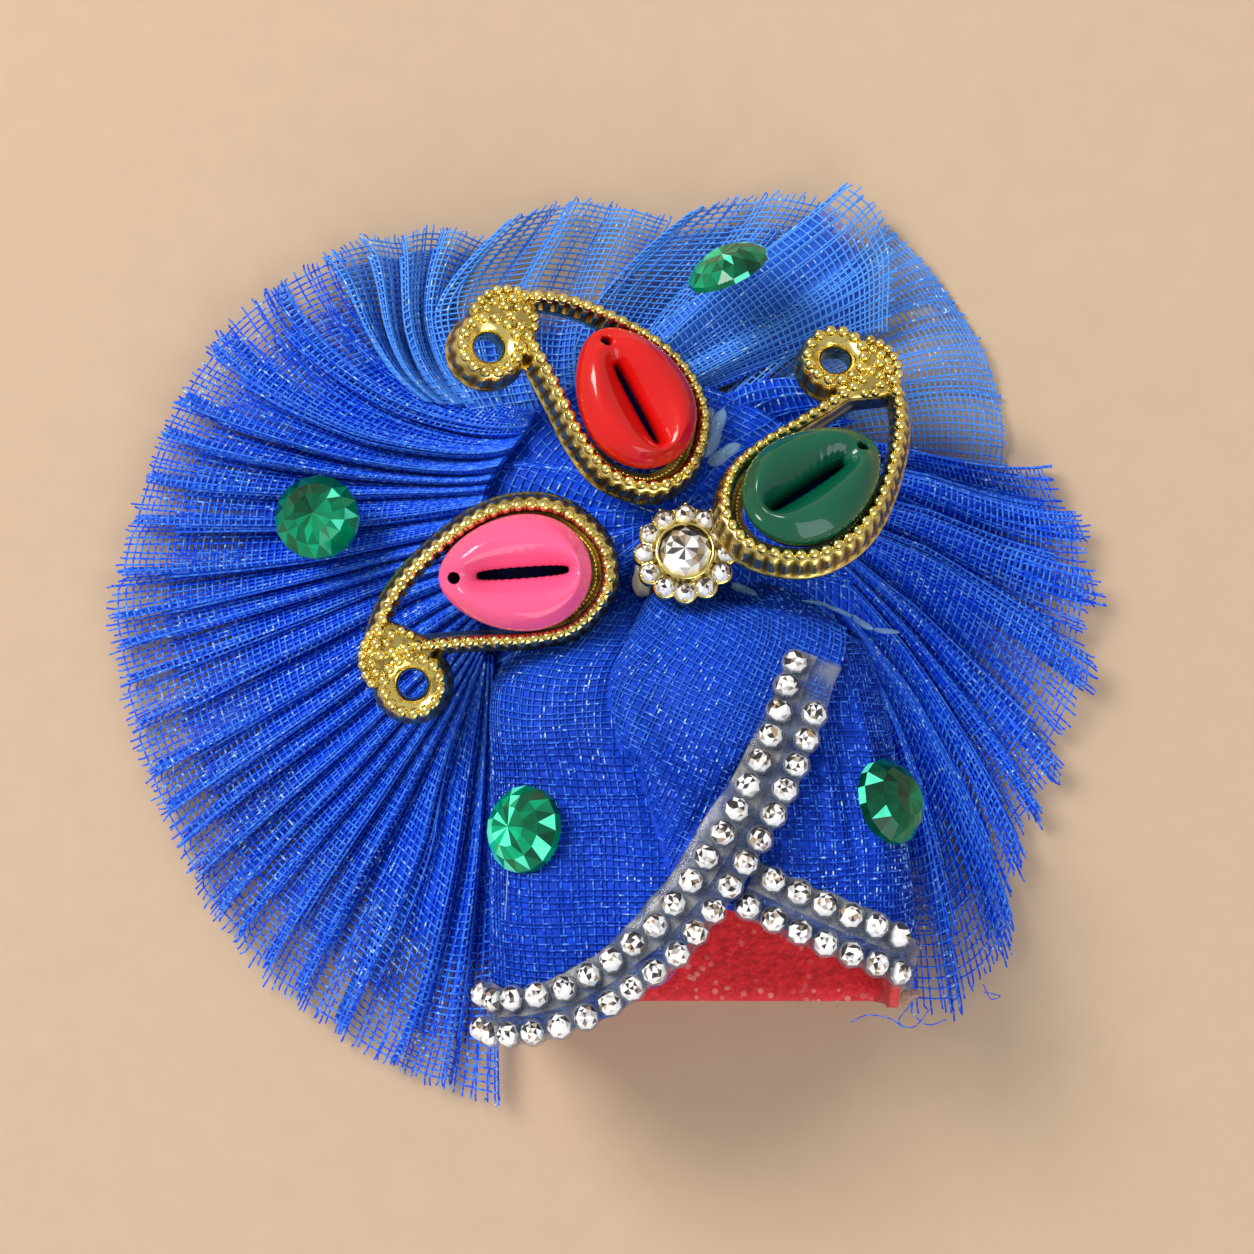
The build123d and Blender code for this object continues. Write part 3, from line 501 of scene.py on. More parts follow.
def gold_paint(colour):
    """Electroplated gold over moulded plastic, with painted shade in its recesses and painted dark
    reflections in small spots.
    """
    paint = Paint("gold plating")
    hollow = paint.attribute("hollow")
    worn = paint.noise(350.0, 3.0)
    body = paint.mix(worn.above(0.40, 0.30), tint(colour, 0.80), tint(colour, 1.05))
    # Painted dark reflections: small dark spots stand in for the darker parts of the room that the
    # gold would mirror
    spots = paint.noise(620.0, 2.0).above(0.58, 0.05)
    body = paint.mix(spots * 0.55, body, (0.30, 0.19, 0.03))
    # Painted shade in the recesses that the mesh marks
    body = paint.mix(hollow, body, (0.15, 0.085, 0.012))
    return paint.finish({
        "Base Color": body, "Metallic": 1.0, "Roughness": 0.13 + 0.22 * hollow + 0.08 * worn,
        "Normal": paint.bump(paint.noise(260.0, 2.0), 0.15, 0.0003),
    })


def shell_paint(name, colour):
    """Glossy moulded plastic."""
    paint = Paint(name)
    swirl = paint.noise(90.0, 2.0)
    body = paint.mix(swirl.above(0.35, 0.40), tint(colour, 0.88), tint(colour, 1.08))
    return paint.finish({
        "Base Color": body, "Roughness": 0.26 + 0.08 * swirl, "Coat Weight": 0.75,
        "Coat Roughness": 0.045, "Specular IOR Level": 0.12,
        "Normal": paint.bump(paint.noise(140.0, 1.0), 0.10, 0.0005),
    })


def stone_paint(name, stops, rough):
    """Foil-backed faceted stone with painted reflections: each facet's stored value gives it its
    own brightness, as if it caught its own part of the room.
    """
    paint = Paint(name)
    facet = paint.attribute("facet")
    shade = paint.noise(500.0, 1.0) * 0.25 + facet - 0.12
    body = paint.ramp(shade, stops)
    return paint.finish({
        "Base Color": body, "Roughness": rough, "Coat Weight": 0.12,
        "Coat Roughness": 0.02, "Specular IOR Level": 0.2,
    })


def clear_finish(paint, cloud, body, rough, alpha, coat, relief):
    """Close a clear plastic; cloudy places are duller and hide more."""
    return paint.finish({
        "Base Color": body, "Roughness": rough[0] + rough[1] * cloud,
        "Alpha": alpha[0] + alpha[1] * cloud, "Coat Weight": coat,
        "Normal": paint.bump(cloud, *relief),
    })


def strip_paint():
    """Clear soft plastic of the trim, seen over the dark net."""
    paint = Paint("clear strip")
    cloud = paint.noise(300.0, 3.0)
    body = paint.mix(cloud.above(0.35, 0.35), (0.07, 0.11, 0.18), (0.34, 0.37, 0.38))
    return clear_finish(paint, cloud, body, (0.14, 0.2), (0.08, 0.42), 0.5, (0.3, 0.0004))


def edge_paint():
    """Bumpy yellow-grey edge of the clear strip, where it was cut and glued."""
    paint = Paint("strip edge")
    lumps = paint.noise(420.0, 3.0)
    spots = paint.noise(1100.0, 2.0)
    body = paint.mix(lumps.above(0.38, 0.25), (0.14, 0.16, 0.16), (0.52, 0.52, 0.42))
    body = paint.mix(spots.above(0.60, 0.08) * 0.6, body, (0.30, 0.19, 0.07))
    return clear_finish(paint, lumps, body, (0.30, 0.2), (0.22, 0.42), 0.4, (0.9, 0.0006))


def glue_paint(name, colour, alpha):
    """Set hot glue or clear adhesive."""
    paint = Paint(name)
    cloud = paint.noise(260.0, 3.0)
    body = paint.mix(cloud.above(0.4, 0.3), tint(colour, 0.8), tint(colour, 1.1))
    return clear_finish(paint, cloud, body, (0.12, 0.25), (alpha, 0.2), 0.6, (0.35, 0.0005))


def floor_paint(colour):
    """Plain pale matt floor."""
    paint = Paint("pale floor")
    grain = paint.noise(220.0, 4.0)
    body = paint.mix(grain.above(0.3, 0.5), tint(colour, 0.975), tint(colour, 1.02))
    return paint.finish({"Base Color": body, "Roughness": 0.85,
                         "Normal": paint.bump(grain, 0.03, 0.001)})


PAINTS = {}


def fill_paints(colours):
    """Make every finish once, by name."""
    net, light, emerald = tuple(colours.net), tuple(colours.net_light), tuple(colours.emerald)
    dark, white, brown = (0.035, 0.032, 0.035), (0.95, 0.95, 0.96), (0.42, 0.28, 0.15)
    # Colour, colour of the painted glints, and the levels where painted glints and whiter ones
    # start
    for name, look in {
        "net warp": (net, mixed(net, light, 0.75), 0.50, 0.66),
        "net weft": (tint(net, 1.10), mixed(net, light, 0.85), 0.46, 0.64),
        "pale warp": (mixed(net, light, 0.75), light, 0.50, 0.65),
        "pale weft": (mixed(net, light, 0.90), light, 0.48, 0.65),
        "flap warp": (tint(net, 0.52), mixed(net, light, 0.6), 0.50, 0.62),
        "flap weft": (tint(net, 0.60), mixed(net, light, 0.6), 0.54, 0.69),
    }.items():
        PAINTS[name] = net_thread(name + " thread", *look)
    PAINTS["ground"] = net_ground("layered net", tint(net, 0.78), False)
    PAINTS["pale ground"] = net_ground("layered pale net", mixed(net, light, 0.40), True)
    PAINTS["open ground"] = net_ground("layered net opening out", net, True)
    PAINTS["felt"] = felt_paint(tuple(colours.felt))
    PAINTS["gold"] = gold_paint(tuple(colours.gold))
    for name in COWRIE_LIPS:
        PAINTS[name] = shell_paint(name + " shell", tuple(getattr(colours, name)))
    # Ramps from a facet's painted reflection value to its colour, dark facets first and painted
    # highlights last
    PAINTS["crystal"] = stone_paint("crystal stone", [
        (0.00, dark), (0.14, (0.10, 0.09, 0.09)), (0.26, brown), (0.36, (0.42, 0.42, 0.43)),
        (0.50, (0.84, 0.84, 0.85)), (1.00, white)], 0.06)
    PAINTS["emerald"] = stone_paint("emerald stone", [
        (0.00, tint(emerald, 0.06)), (0.35, tint(emerald, 0.32)), (0.65, tint(emerald, 0.85)),
        (0.88, (0.0, 0.50, 0.24)), (1.00, (0.10, 0.85, 0.56))], 0.10)
    # Painted shade: near-black blue for the card under each cowrie
    PAINTS["lining"] = net_ground("shaded lining", tint(net, 0.08), False)
    PAINTS["strip"] = strip_paint()
    PAINTS["strip edge"] = edge_paint()
    for name, colour, alpha in (
            ("nylon thread", (0.45, 0.55, 0.75), 0.80), ("clear glue", (0.30, 0.55, 0.82), 0.30),
            ("cream glue", (0.66, 0.58, 0.44), 0.80), ("brown glue", (0.42, 0.20, 0.10), 0.50)):
        PAINTS[name] = glue_paint(name, colour, alpha)
    PAINTS["floor"] = floor_paint(tuple(colours.floor))


def painted(name):
    """The material of a finish; the first call makes them all."""
    if not PAINTS:
        fill_paints(bpy.context.scene.crown_colours)
    return PAINTS[name]


# Meshes


def alike(*values):
    """The values as number arrays of one shape."""
    return np.broadcast_arrays(*(np.asarray(value, float) for value in values))


def to_metres(points):
    """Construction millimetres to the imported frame's metres."""
    return (np.asarray(points, float) - CENTRE) * MM


def grid_quads(rows, columns, loop=False, start=0, flip=False):
    """Quads between the rows of a grid of points."""
    r = np.arange(rows - 1)[:, None]
    c = np.arange(columns if loop else columns - 1)[None, :]
    n = (c + 1) % columns
    quads = np.stack([r * columns + c, r * columns + n, (r + 1) * columns + n,
                      (r + 1) * columns + c], axis=-1).reshape(-1, 4) + start
    return (quads[:, ::-1] if flip else quads).tolist()


def linked(name, data):
    """New object in the scene that holds a mesh, a lamp or a camera."""
    thing = bpy.data.objects.new(name, data)
    bpy.context.scene.collection.objects.link(thing)
    return thing


def store(mesh, values, kind="FLOAT", field="value"):
    """Write named values on a mesh: one for each point, or else one for each face."""
    for key, numbers in values.items():
        domain = "POINT" if len(numbers) == len(mesh.vertices) else "FACE"
        attribute = mesh.attributes.new(key, kind, domain)
        attribute.data.foreach_set(field, np.asarray(numbers, np.float32).ravel())


def new_piece(name, points, faces, paints, smooth=True, paint_index=None, **values):
    """Mesh object from millimetre points, with its finishes and named point or face values."""
    mesh = bpy.data.meshes.new(name)
    mesh.from_pydata(to_metres(points).tolist(), [], faces)
    for paint in paints:
        mesh.materials.append(painted(paint))
    mesh.polygons.foreach_set("use_smooth", np.full(len(mesh.polygons), smooth))
    if paint_index is not None:
        mesh.polygons.foreach_set("material_index", np.asarray(paint_index, np.int32))
    store(mesh, values)
    mesh.update()
    return linked(name, mesh)


def plain_mesh(piece):
    """Turn an object's modifiers into a plain mesh."""
    graph = bpy.context.evaluated_depsgraph_get()
    mesh = bpy.data.meshes.new_from_object(piece.evaluated_get(graph))
    piece.modifiers.clear()
    piece.data = mesh
    return piece


def tube_faces(rows, columns, start=0):
    """Faces of a tube of rings, closed by two tips that follow its points."""
    faces = grid_quads(rows, columns, True, start)
    last, tip = start + (rows - 1) * columns, start + rows * columns
    for i in range(columns):
        j = (i + 1) % columns
        faces += [(start + j, start + i, tip), (last + i, last + j, tip + 1)]
    return faces


def ring_faces(rows, columns):
    """Faces of a closed ring: a grid of loops whose last one joins the first."""
    faces, last = grid_quads(rows, columns, True), (rows - 1) * columns
    return faces + [(last + i, last + (i + 1) % columns, (i + 1) % columns, i)
                    for i in range(columns)]


def prism_faces(count):
    """Faces of a prism between two rings of points."""
    sides = [(i, (i + 1) % count, count + (i + 1) % count, count + i) for i in range(count)]
    return sides + [tuple(range(count - 1, -1, -1)), tuple(range(count, 2 * count))]


def round_steps(count):
    """Even angles round a circle."""
    return np.linspace(0, 2 * np.pi, count, endpoint=False)


def around_circle(count):
    """Even places round a circle of radius 1."""
    return np.stack([np.cos(round_steps(count)), np.sin(round_steps(count))], axis=1)


def at_height(flat, z):
    """Plan points lifted to a height."""
    return np.column_stack([flat, np.broadcast_to(z, len(flat))])


def unit(vectors):
    """Vectors made one unit long."""
    return vectors / np.linalg.norm(vectors, axis=-1, keepdims=True)


def settle(piece, slot, *nodes):
    """Fix a finished piece to the crown."""
    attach(piece, "root")
    if nodes:
        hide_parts(*nodes)
    return piece


def wobble(a, b, seed):
    """Smooth irregular wave over two coordinates, about -1 to 1."""
    source = np.random.RandomState(seed)
    total = 0.0
    for _ in range(WAVES):
        angle, phase, speed = source.rand(3) * (WAVE_TURN, WAVE_TURN, 1.0) + (0.0, 0.0, 0.6)
        total = total + np.sin(speed * (a * math.cos(angle) + b * math.sin(angle)) + phase)
    return total / WAVE_SUM


# Cap and flaps


def smooth_column(table, column, value):
    """Read a column of a table along a smooth curve through its rows."""
    x, y = table[:, 0], table[:, column]
    row, last = np.arange(len(x)), len(x) - 1
    low, high = np.maximum(row - 1, 0), np.minimum(row + 1, last)
    slope = (y[high] - y[low]) / (x[high] - x[low])
    value = np.clip(value, x[0], x[-1])
    i = np.clip(np.searchsorted(x, value, side="left") - 1, 0, last - 1)
    span = x[i + 1] - x[i]
    t = (value - x[i]) / span
    return ((1 + 2 * t) * (1 - t) ** 2 * y[i] + t * (1 - t) ** 2 * span * slope[i]
            + t * t * (3 - 2 * t) * y[i + 1] - t * t * (1 - t) * span * slope[i + 1])


def cap_section(along, offset):
    """Half width, height, middle, front corner and back corner of the cap."""
    half = 0.5 * CAP_WIDTH * smooth_column(CAP_SECTIONS, 1, along)
    height = CAP_HEIGHT * smooth_column(CAP_SECTIONS, 2, along)
    middle = CAP_X + CAP_WIDTH * smooth_column(CAP_SECTIONS, 3, along)
    corner = np.minimum(np.minimum(CAP_CORNER, 0.45 * height), 0.8 * half)
    back = np.minimum(BACK_CORNER, 0.40 * height)
    return half + offset, height + offset, middle, corner + offset, back + offset


def on_cap(across, along, offset):
    """Places on the cap's wall, moved outward by an offset."""
    across, along, offset = alike(across, along, offset)
    half, height, middle, corner, back = cap_section(along, offset)
    place, side = np.abs(across), np.where(across >= 0, 1.0, -1.0)
    flat = (half - corner) / half
    front = 0.5 * np.pi * (place - flat) / (CORNER_END - flat)
    down = (place - CORNER_END) / (SIDE_END - CORNER_END)
    turn = 0.5 * np.pi * (place - SIDE_END) / (BACK_END - SIDE_END)
    under = (place - BACK_END) / (BACK_MIDDLE - BACK_END)
    zones = [place <= flat, place <= CORNER_END, place <= SIDE_END, place <= BACK_END]
    x = np.select(zones, [place * half, half - corner + corner * np.sin(front), half,
                          half - back * (1 - np.cos(turn))], (half - back) * (1 - under))
    z = np.select(zones, [
        height + CAP_CROWN * (1 - (place / flat) ** 2), height - corner * (1 - np.cos(front)),
        height - corner + down * (back - offset - height + corner),
        back * (1 - np.sin(turn)) - offset], -offset)
    y = RIM_Y + CAP_LENGTH * along - RIM_SLANT * (z / CAP_HEIGHT) * (1 - along)
    return np.stack([middle + side * x, y, z], axis=-1)


def valley_place(along):
    """Place across of the left flap's valley."""
    return np.interp(along, VALLEY[:, 0], VALLEY[:, 1])


def flap_place(left, across, along, lift):
    """Places at a height over the inner face of the left or right flap."""
    across, along = alike(across, along)
    offset = np.full(across.shape, GAP)
    if left:
        share = np.clip((across - CLIMB_START) / CLIMB_SPAN, 0, 1)
        offset = offset + (NET_WALL + 1.4 * GAP) * share * share * (3 - 2 * share)
    for middle, up, half_a, half_b, turn, rise in LEFT_FOLDS if left else RIGHT_FOLDS:
        a, b = across - middle, (along - up) * FOLD_STRETCH
        c, s = math.cos(math.radians(turn)), math.sin(math.radians(turn))
        far = np.hypot((a * c + b * s) / half_a, (b * c - a * s) / (half_b * FOLD_STRETCH))
        offset = offset + BULGE * rise * np.clip(1 - far * far, 0, 1) ** 2
    if left:
        aside = across - valley_place(along)
        fade = (np.clip((along - VALLEY_START) / VALLEY_RISE, 0, 1)
                * np.clip((VALLEY_END - along) / VALLEY_FALL, 0, 1))
        offset = offset + fade * sum(height * np.exp(-((aside - place) / width) ** 2)
                                     for place, width, height in VALLEY_RIDGES)
    return on_cap(across, along, offset - TURN_DROP * past_top(across, along) + lift)


def past_top(across, along):
    """How far a flap's cloth has turned under at its top fold, from 0 to 1."""
    limit = np.interp(across, TOP_LIMIT[:, 0], TOP_LIMIT[:, 1])
    return np.clip((along - limit) / TURN_SHARE, 0, 1)


def flap_edge(left, across):
    """Where a flap's lower edge is, as a share of the cap's length."""
    table = LEFT_EDGE if left else RIGHT_EDGE
    return np.interp(across, table[:, 0], table[:, 1])


def cloth_start(left, across):
    """Where a flap's cloth starts, a little above its lower edge."""
    return flap_edge(left, across) + CLOTH_RETREAT / CAP_LENGTH


def flap_ends(left):
    """First and last place round the girth that a flap covers."""
    return (-FLAP_SIDE, LEFT_EDGE[-1][0]) if left else (RIGHT_EDGE[0][0], FLAP_SIDE)


def closed_end_cloth(top, low, rows, columns, flip=False):
    """Points and faces of a cloth between two grids of rings that end in two tips."""
    count, last = rows * columns, (rows - 1) * columns
    points = np.concatenate([top, low, top[-columns:].mean(0)[None], low[-columns:].mean(0)[None]])
    faces = (grid_quads(rows, columns, True, flip=flip)
             + grid_quads(rows, columns, True, start=count, flip=not flip))
    for i in range(columns):
        j = (i + 1) % columns
        a, b = (j, i) if flip else (i, j)
        faces += [(b, a, count + a, count + b), (last + a, last + b, 2 * count),
                  (count + last + b, count + last + a, 2 * count + 1)]
    return points, faces


def felt_cap():
    """Hollow felt cap with a closed end and an inverted V left open in its front wall."""
    girth = np.linspace(-BACK_MIDDLE, BACK_MIDDLE, CAP_STEPS[0] + 1)[:-1]
    edge = np.minimum(flap_edge(True, girth), flap_edge(False, girth))
    edge = edge * np.clip((FELT_V_END - np.abs(girth)) / FELT_FADE, 0, 1)
    front = np.clip((FELT_RETREAT_END - np.abs(girth)) / FELT_FADE, 0, 1)
    start = np.maximum(edge + front * FELT_RETREAT / CAP_LENGTH, 0.0)
    share = (1 - (1 - np.linspace(0, 1, CAP_STEPS[1])) ** 1.6)[:, None]
    along = start + (1 - start) * share
    rough = 0.10 * wobble(girth[None, :] * 14, along * 40, 3)
    outer = on_cap(girth[None, :], along, -0.12 + rough)
    inner = on_cap(girth[None, :], along, -FELT_WALL + rough)
    inner[..., 1] -= FELT_WALL * share
    rows, columns = outer.shape[:2]
    points, faces = closed_end_cloth(outer.reshape(-1, 3), inner.reshape(-1, 3), rows, columns,
                                     True)
    return new_piece("felt_cap", points, faces, ["felt"])


def flap_cloth(name, left):
    """Layered net of a flap, as one thin closed sheet."""
    across = np.linspace(*flap_ends(left), FLAP_STEPS[0])[:, None]
    start = cloth_start(left, across)
    share = 1 - (1 - np.linspace(0, 1, FLAP_STEPS[1])[None, :]) ** 1.3
    along = start + (CLOTH_TUCK - start) * share
    rough = 0.05 * wobble(across * 30, along * 60, 5)
    top = flap_place(left, across, along, NET_WALL - 0.12 + rough)
    low = flap_place(left, across, along, 0.15)
    # Painted shade: the cloth is darker where it turns under at its top fold
    crest = 0.55 * (1 - past_top(across, along))
    return closed_sheet(name, top, low, ["ground"], crest=crest)


def run_lengths(points):
    """Length along a line of points up to each of them."""
    return np.concatenate([[0], np.cumsum(np.linalg.norm(np.diff(points, axis=0), axis=1))])


def flap_runs(left, across, along, lift, weft, keep):
    """Pieces of a thread line that lie on a flap, with how light each place is painted: lighter on
    the upper part of the left flap, and painted shade where the cloth turns under at its top fold.
    """
    inside = keep & (along >= cloth_start(left, across)) & (along <= CLOTH_TUCK)
    lightness = 0.30 if weft else 0.45
    light = lightness + (0.90 - lightness) * left * np.clip((along - 0.42) / 0.22, 0, 1)
    # Painted shade where the cloth turns under at the top fold
    light = light * (1 - past_top(across, along))
    runs = []
    for run in np.split(np.arange(len(across)), np.nonzero(np.diff(inside))[0] + 1):
        if inside[run[0]] and len(run) > 2:
            place = flap_place(left, across[run], along[run], lift)
            runs.append((place, float(weft), light[run]))
    return runs


def flap_lines(left, pitch):
    """Thread lines of a flap's net; on the left flap two weaves meet in its valley."""
    first, last = flap_ends(left)
    lift, source, lines = NET_WALL + 0.02, np.random.RandomState(41), []
    fine = np.linspace(-FLAP_SIDE, FLAP_SIDE, 900)
    girth = run_lengths(flap_place(left, fine, WARP_LEVEL, lift))
    rise = CAP_LENGTH * 1.15
    along = np.linspace(0.0, CLOTH_TUCK, 56)
    close = pitch if left else RIGHT_CLOSENESS * pitch
    for side in (-1, 1) if left else (0,):
        lean, slope = (BIAS, SKEW) if side > 0 else (PLAIN_LEAN, 0.0)
        for place in np.arange(0.3, girth[-1] + OVERRUN * (side > 0), close):
            start = np.interp(place + source.normal(0, WARP_SCATTER), girth, fine)
            start = start + max(0.0, place - girth[-1]) / GIRTH_UNIT
            across = start - lean * (LEAN_LEVEL - along) * left
            across = across + 0.012 * wobble(along * 14, 0 * along + start * 9, 7)
            keep = (across > first) & (across < last)
            if left:
                keep = keep & ((across - valley_place(along)) * side > 0)
            lines += flap_runs(left, across, along, lift, False, keep)
        across = np.linspace(first, last, FLAP_STEPS[0])
        for level in np.arange(0.0, 1.3, pitch / rise):
            level = level + source.normal(0, WEFT_SCATTER)
            height = level + 0.006 * wobble(across * 7, 0 * across + level * 30, 8)
            height = height - slope * np.clip(across + 0.40, 0, 3)
            keep = np.full(len(across), True)
            if left:
                keep = (across - valley_place(height)) * side > 0
            lines += flap_runs(left, across, height, lift + 0.1, True, keep)
    return lines


# Fan


def fan_table(sheet):
    """A sheet's guide folds, each row led by its first pleat."""
    guides = np.array(sheet["guides"], float)
    first = np.concatenate([[0], np.cumsum(guides[:-1, 8])])
    return np.concatenate([first[:, None], guides], axis=1)


def pleat_count(sheet):
    """Number of pleats of a sheet."""
    return int(fan_table(sheet)[-1, 0])


def plan_place(across, down):
    """Millimetres in plan of a place given in the view's units."""
    return ((across - PLAN_X) * PLAN_UNIT + CAMERA_X, (PLAN_Y - down) * PLAN_UNIT + CAMERA_Y)


def fan_place(sheet, pleat, out, ply=0):
    """Places on a sheet of the fan: pleats counted clockwise, and the share of the way out."""
    table = fan_table(sheet)
    pleat, out = alike(pleat, out)
    depth, tooth, lean = (np.interp(pleat, table[:, 0], table[:, k]) for k in (10, 11, 12))
    fold = pleat + PLY_SHIFT * ply
    part, number = fold - np.floor(fold), np.floor(fold)
    wave = np.sin(np.pi * part) ** 2
    ridge = wave + sheet["sharp"] * (1 - np.abs(2 * part - 1) - wave)
    opening = np.clip(out / OPEN_BY, 0, 1) ** OPEN_POWER
    drift = FOLD_DRIFT * wobble(number * 3.1, out * 4, 12)
    moved_on = np.clip(pleat - lean * wave * opening + drift * opening, 0, table[-1, 0])
    u = [smooth_column(table, k, moved_on) for k in range(1, 9)]
    step = pleat - np.floor(pleat)
    saw = np.interp(step, [0.0, TOOTH_RISE, 1.0], [0.0, 1.0, 0.0])
    if sheet.get("saw", 0) < 0:
        saw = np.interp(step, [0.0, 1 - TOOTH_RISE, 1.0], [0.0, 1.0, 0.0])
    elif "saw" not in sheet:
        saw = ridge
    jagged = tooth * (saw - 0.5) / SHEET_LENGTH + RIM_WOBBLE * wobble(fold * 2.0, 0 * fold, 13)
    t = out + jagged * out
    t = t - RIM_RETREAT * ply * out
    # Cubic through a guide's four points, which lie at 0, 1/3, 2/3 and 1 of the way out
    a, b, c = t - 1 / 3, t - 2 / 3, t - 1
    weights = (-4.5 * a * b * c, 13.5 * t * b * c, -13.5 * t * a * c, 4.5 * t * a * b)
    x, y = plan_place(sum(w * u[2 * k] for k, w in enumerate(weights)),
                      sum(w * u[2 * k + 1] for k, w in enumerate(weights)))
    uneven = 1 + FOLD_UNEVEN * wobble(number * 2.3, 0 * number, 11)
    base = sheet["lift"] * np.clip(1 - out / LIFT_END, 0, 1) ** LIFT_POWER
    flat = 1 - RIM_FLAT * np.clip((out - OPEN_BY) / (1 - OPEN_BY), 0, 1)
    rise = (ROOT_DEPTH + (depth - ROOT_DEPTH) * opening) * flat * ridge * uneven
    ripple = RIPPLE * wobble(fold * 5.0, out * 9, 15)
    z = sheet["level"] + base + rise + ripple - PLY_DROP * ply
    return np.stack([x, y, np.clip(z, LOWEST, HIGHEST)], axis=-1)


def crest_share(pleat, ply=0):
    """How near to the top of its fold a place on a sheet is."""
    fold = pleat + PLY_SHIFT * ply
    return 1 - np.abs(2 * (fold - np.floor(fold)) - 1)


def sheet_size(sheet, end=1.0, middle=0.74):
    """Width and length in metres that a sheet of the fan was cut to."""
    total = pleat_count(sheet)
    fine = np.linspace(0.0, total, 1500)
    girth = run_lengths(fan_place(sheet, fine, middle * end))[-1]
    reach = run_lengths(fan_place(sheet, 0.5 * total, np.linspace(0, end, 40)))[-1]
    return girth * MM, reach * MM


def fan_lines(sheet, pitch, fray, ply):
    """Thread lines of a sheet: warps from root to rim, and wefts across it."""
    total = pleat_count(sheet)
    source = np.random.RandomState(21 + ply)
    fine = np.linspace(0.0, total, total * 60 + 1)
    girth = run_lengths(fan_place(sheet, fine, 0.95, ply))
    reach = run_lengths(fan_place(sheet, 0.5 * total, np.linspace(0, 1, 40), ply))[-1]
    lines = []
    for pleat in np.interp(np.arange(0.3, girth[-1], pitch), girth, fine):
        drift = source.normal(0, THREAD_SCATTER)
        end = 1.0 + fray * source.rand() ** 1.5 / reach
        out = np.linspace(WARP_FROM, WARP_TO, WARP_STEPS)
        out = np.append(out, end) * (1 - PLY_SHORT * ply)
        pleats = np.clip(pleat + drift * np.sin(out * 5 + pleat), 0, total)
        line = fan_place(sheet, pleats, out, ply)
        line[-1, :2] += source.normal(0, END_ASIDE, 2)
        line[-1, 2] = max(line[-1, 2] + source.normal(0, END_HEIGHT), LOWEST)
        lines.append((line, 0.0, crest_share(pleats, ply)))
    for out in np.arange(WEFT_FROM, WEFT_TO - PLY_SHORT * ply, pitch / reach):
        pleats = np.linspace(0.0, total, total * (8 if out < 0.35 else 12) + 1)
        level = out + WEFT_WANDER * wobble(pleats * 1.1, 0 * pleats + out * 12, 16 + ply)
        level = level + WEFT_JITTER * source.rand() * pitch / reach
        lines.append((fan_place(sheet, pleats, level, ply), 1.0, crest_share(pleats, ply)))
    return lines


def closed_sheet(name, top, low, paints, **values):
    """Thin closed cloth between two grids of points."""
    rows, columns = top.shape[:2]
    count = rows * columns
    points = np.concatenate([top.reshape(-1, 3), low.reshape(-1, 3)])
    faces = grid_quads(rows, columns, flip=True) + grid_quads(rows, columns, start=count)
    grid = np.arange(count).reshape(rows, columns)
    ring = np.concatenate([grid[0], grid[1:, -1], grid[-1, -2::-1], grid[-2:0:-1, 0]]).tolist()
    for i, j in zip(ring, ring[1:] + ring[:1]):
        faces.append((i, j, count + j, count + i))
    for key in values:
        values[key] = np.concatenate([values[key].ravel()] * 2)
    return new_piece(name, points, faces, paints, **values)


def fan_ground(name, sheet):
    """Dense inner layers of a sheet, which open out before its rim."""
    total = pleat_count(sheet)
    full, end = sheet["cover"]
    out = np.linspace(0.0, min(end, 1.0), 20)[None, :]
    pleats = np.linspace(0.0, total, total * 9 + 1)[:, None]
    place = fan_place(sheet, pleats, out)
    cover = np.broadcast_to(np.clip((end - out) / (end - full), 0, 1), place.shape[:2])
    # Crest value, which sets the painted shade in the folds' valleys
    crest = np.broadcast_to(crest_share(pleats), place.shape[:2])
    faces = [np.concatenate([place[..., :2], np.maximum(place[..., 2:] - drop, floor)], axis=-1)
             for drop, floor in zip(GROUND_DROPS, GROUND_FLOORS)]
    paint = "pale ground" if sheet.get("pale") else "open ground"
    return closed_sheet(name, *faces, [paint], cover=cover, crest=crest)


def gather_place(around, share):
    """Places on the gathered cloth under the frames: round it, and out from its middle."""
    around, share = alike(around, share)
    outline, _ = closed_curve(GATHER, 240)
    closed = np.concatenate([outline, outline[:1]])
    steps = np.linspace(0, 1, len(closed))
    place = around - np.floor(around)
    plan = np.stack([np.interp(place, steps, closed[:, k]) for k in (0, 1)], axis=-1)
    plan = GATHER_MIDDLE + (plan - GATHER_MIDDLE) * share[..., None]
    angle = np.arctan2(plan[..., 1] - GATHER_MIDDLE[1], plan[..., 0] - GATHER_MIDDLE[0])
    x, y = plan_place(plan[..., 0], plan[..., 1])
    turn = GATHER_FOLDS * angle + 2 * wobble(np.cos(angle) * 2, share * 3, 4)
    folds = GATHER_RELIEF * np.sin(turn)
    z = GATHER_HEIGHT - GATHER_FALL * share ** 3 + folds * np.minimum(1, share * 2)
    z = z - GAP_DEPTH * np.sqrt(top_gap(plan))
    return np.stack([x, y, z], axis=-1)


def top_gap(plan):
    """How deep a place in plan lies in the gap above the left flap's top fold."""
    above = np.interp(plan[..., 0], TOP_FOLD[:, 0], TOP_FOLD[:, 1]) - plan[..., 1]
    return np.exp(-((above - GAP_PLACE) / GAP_SPREAD) ** 2)


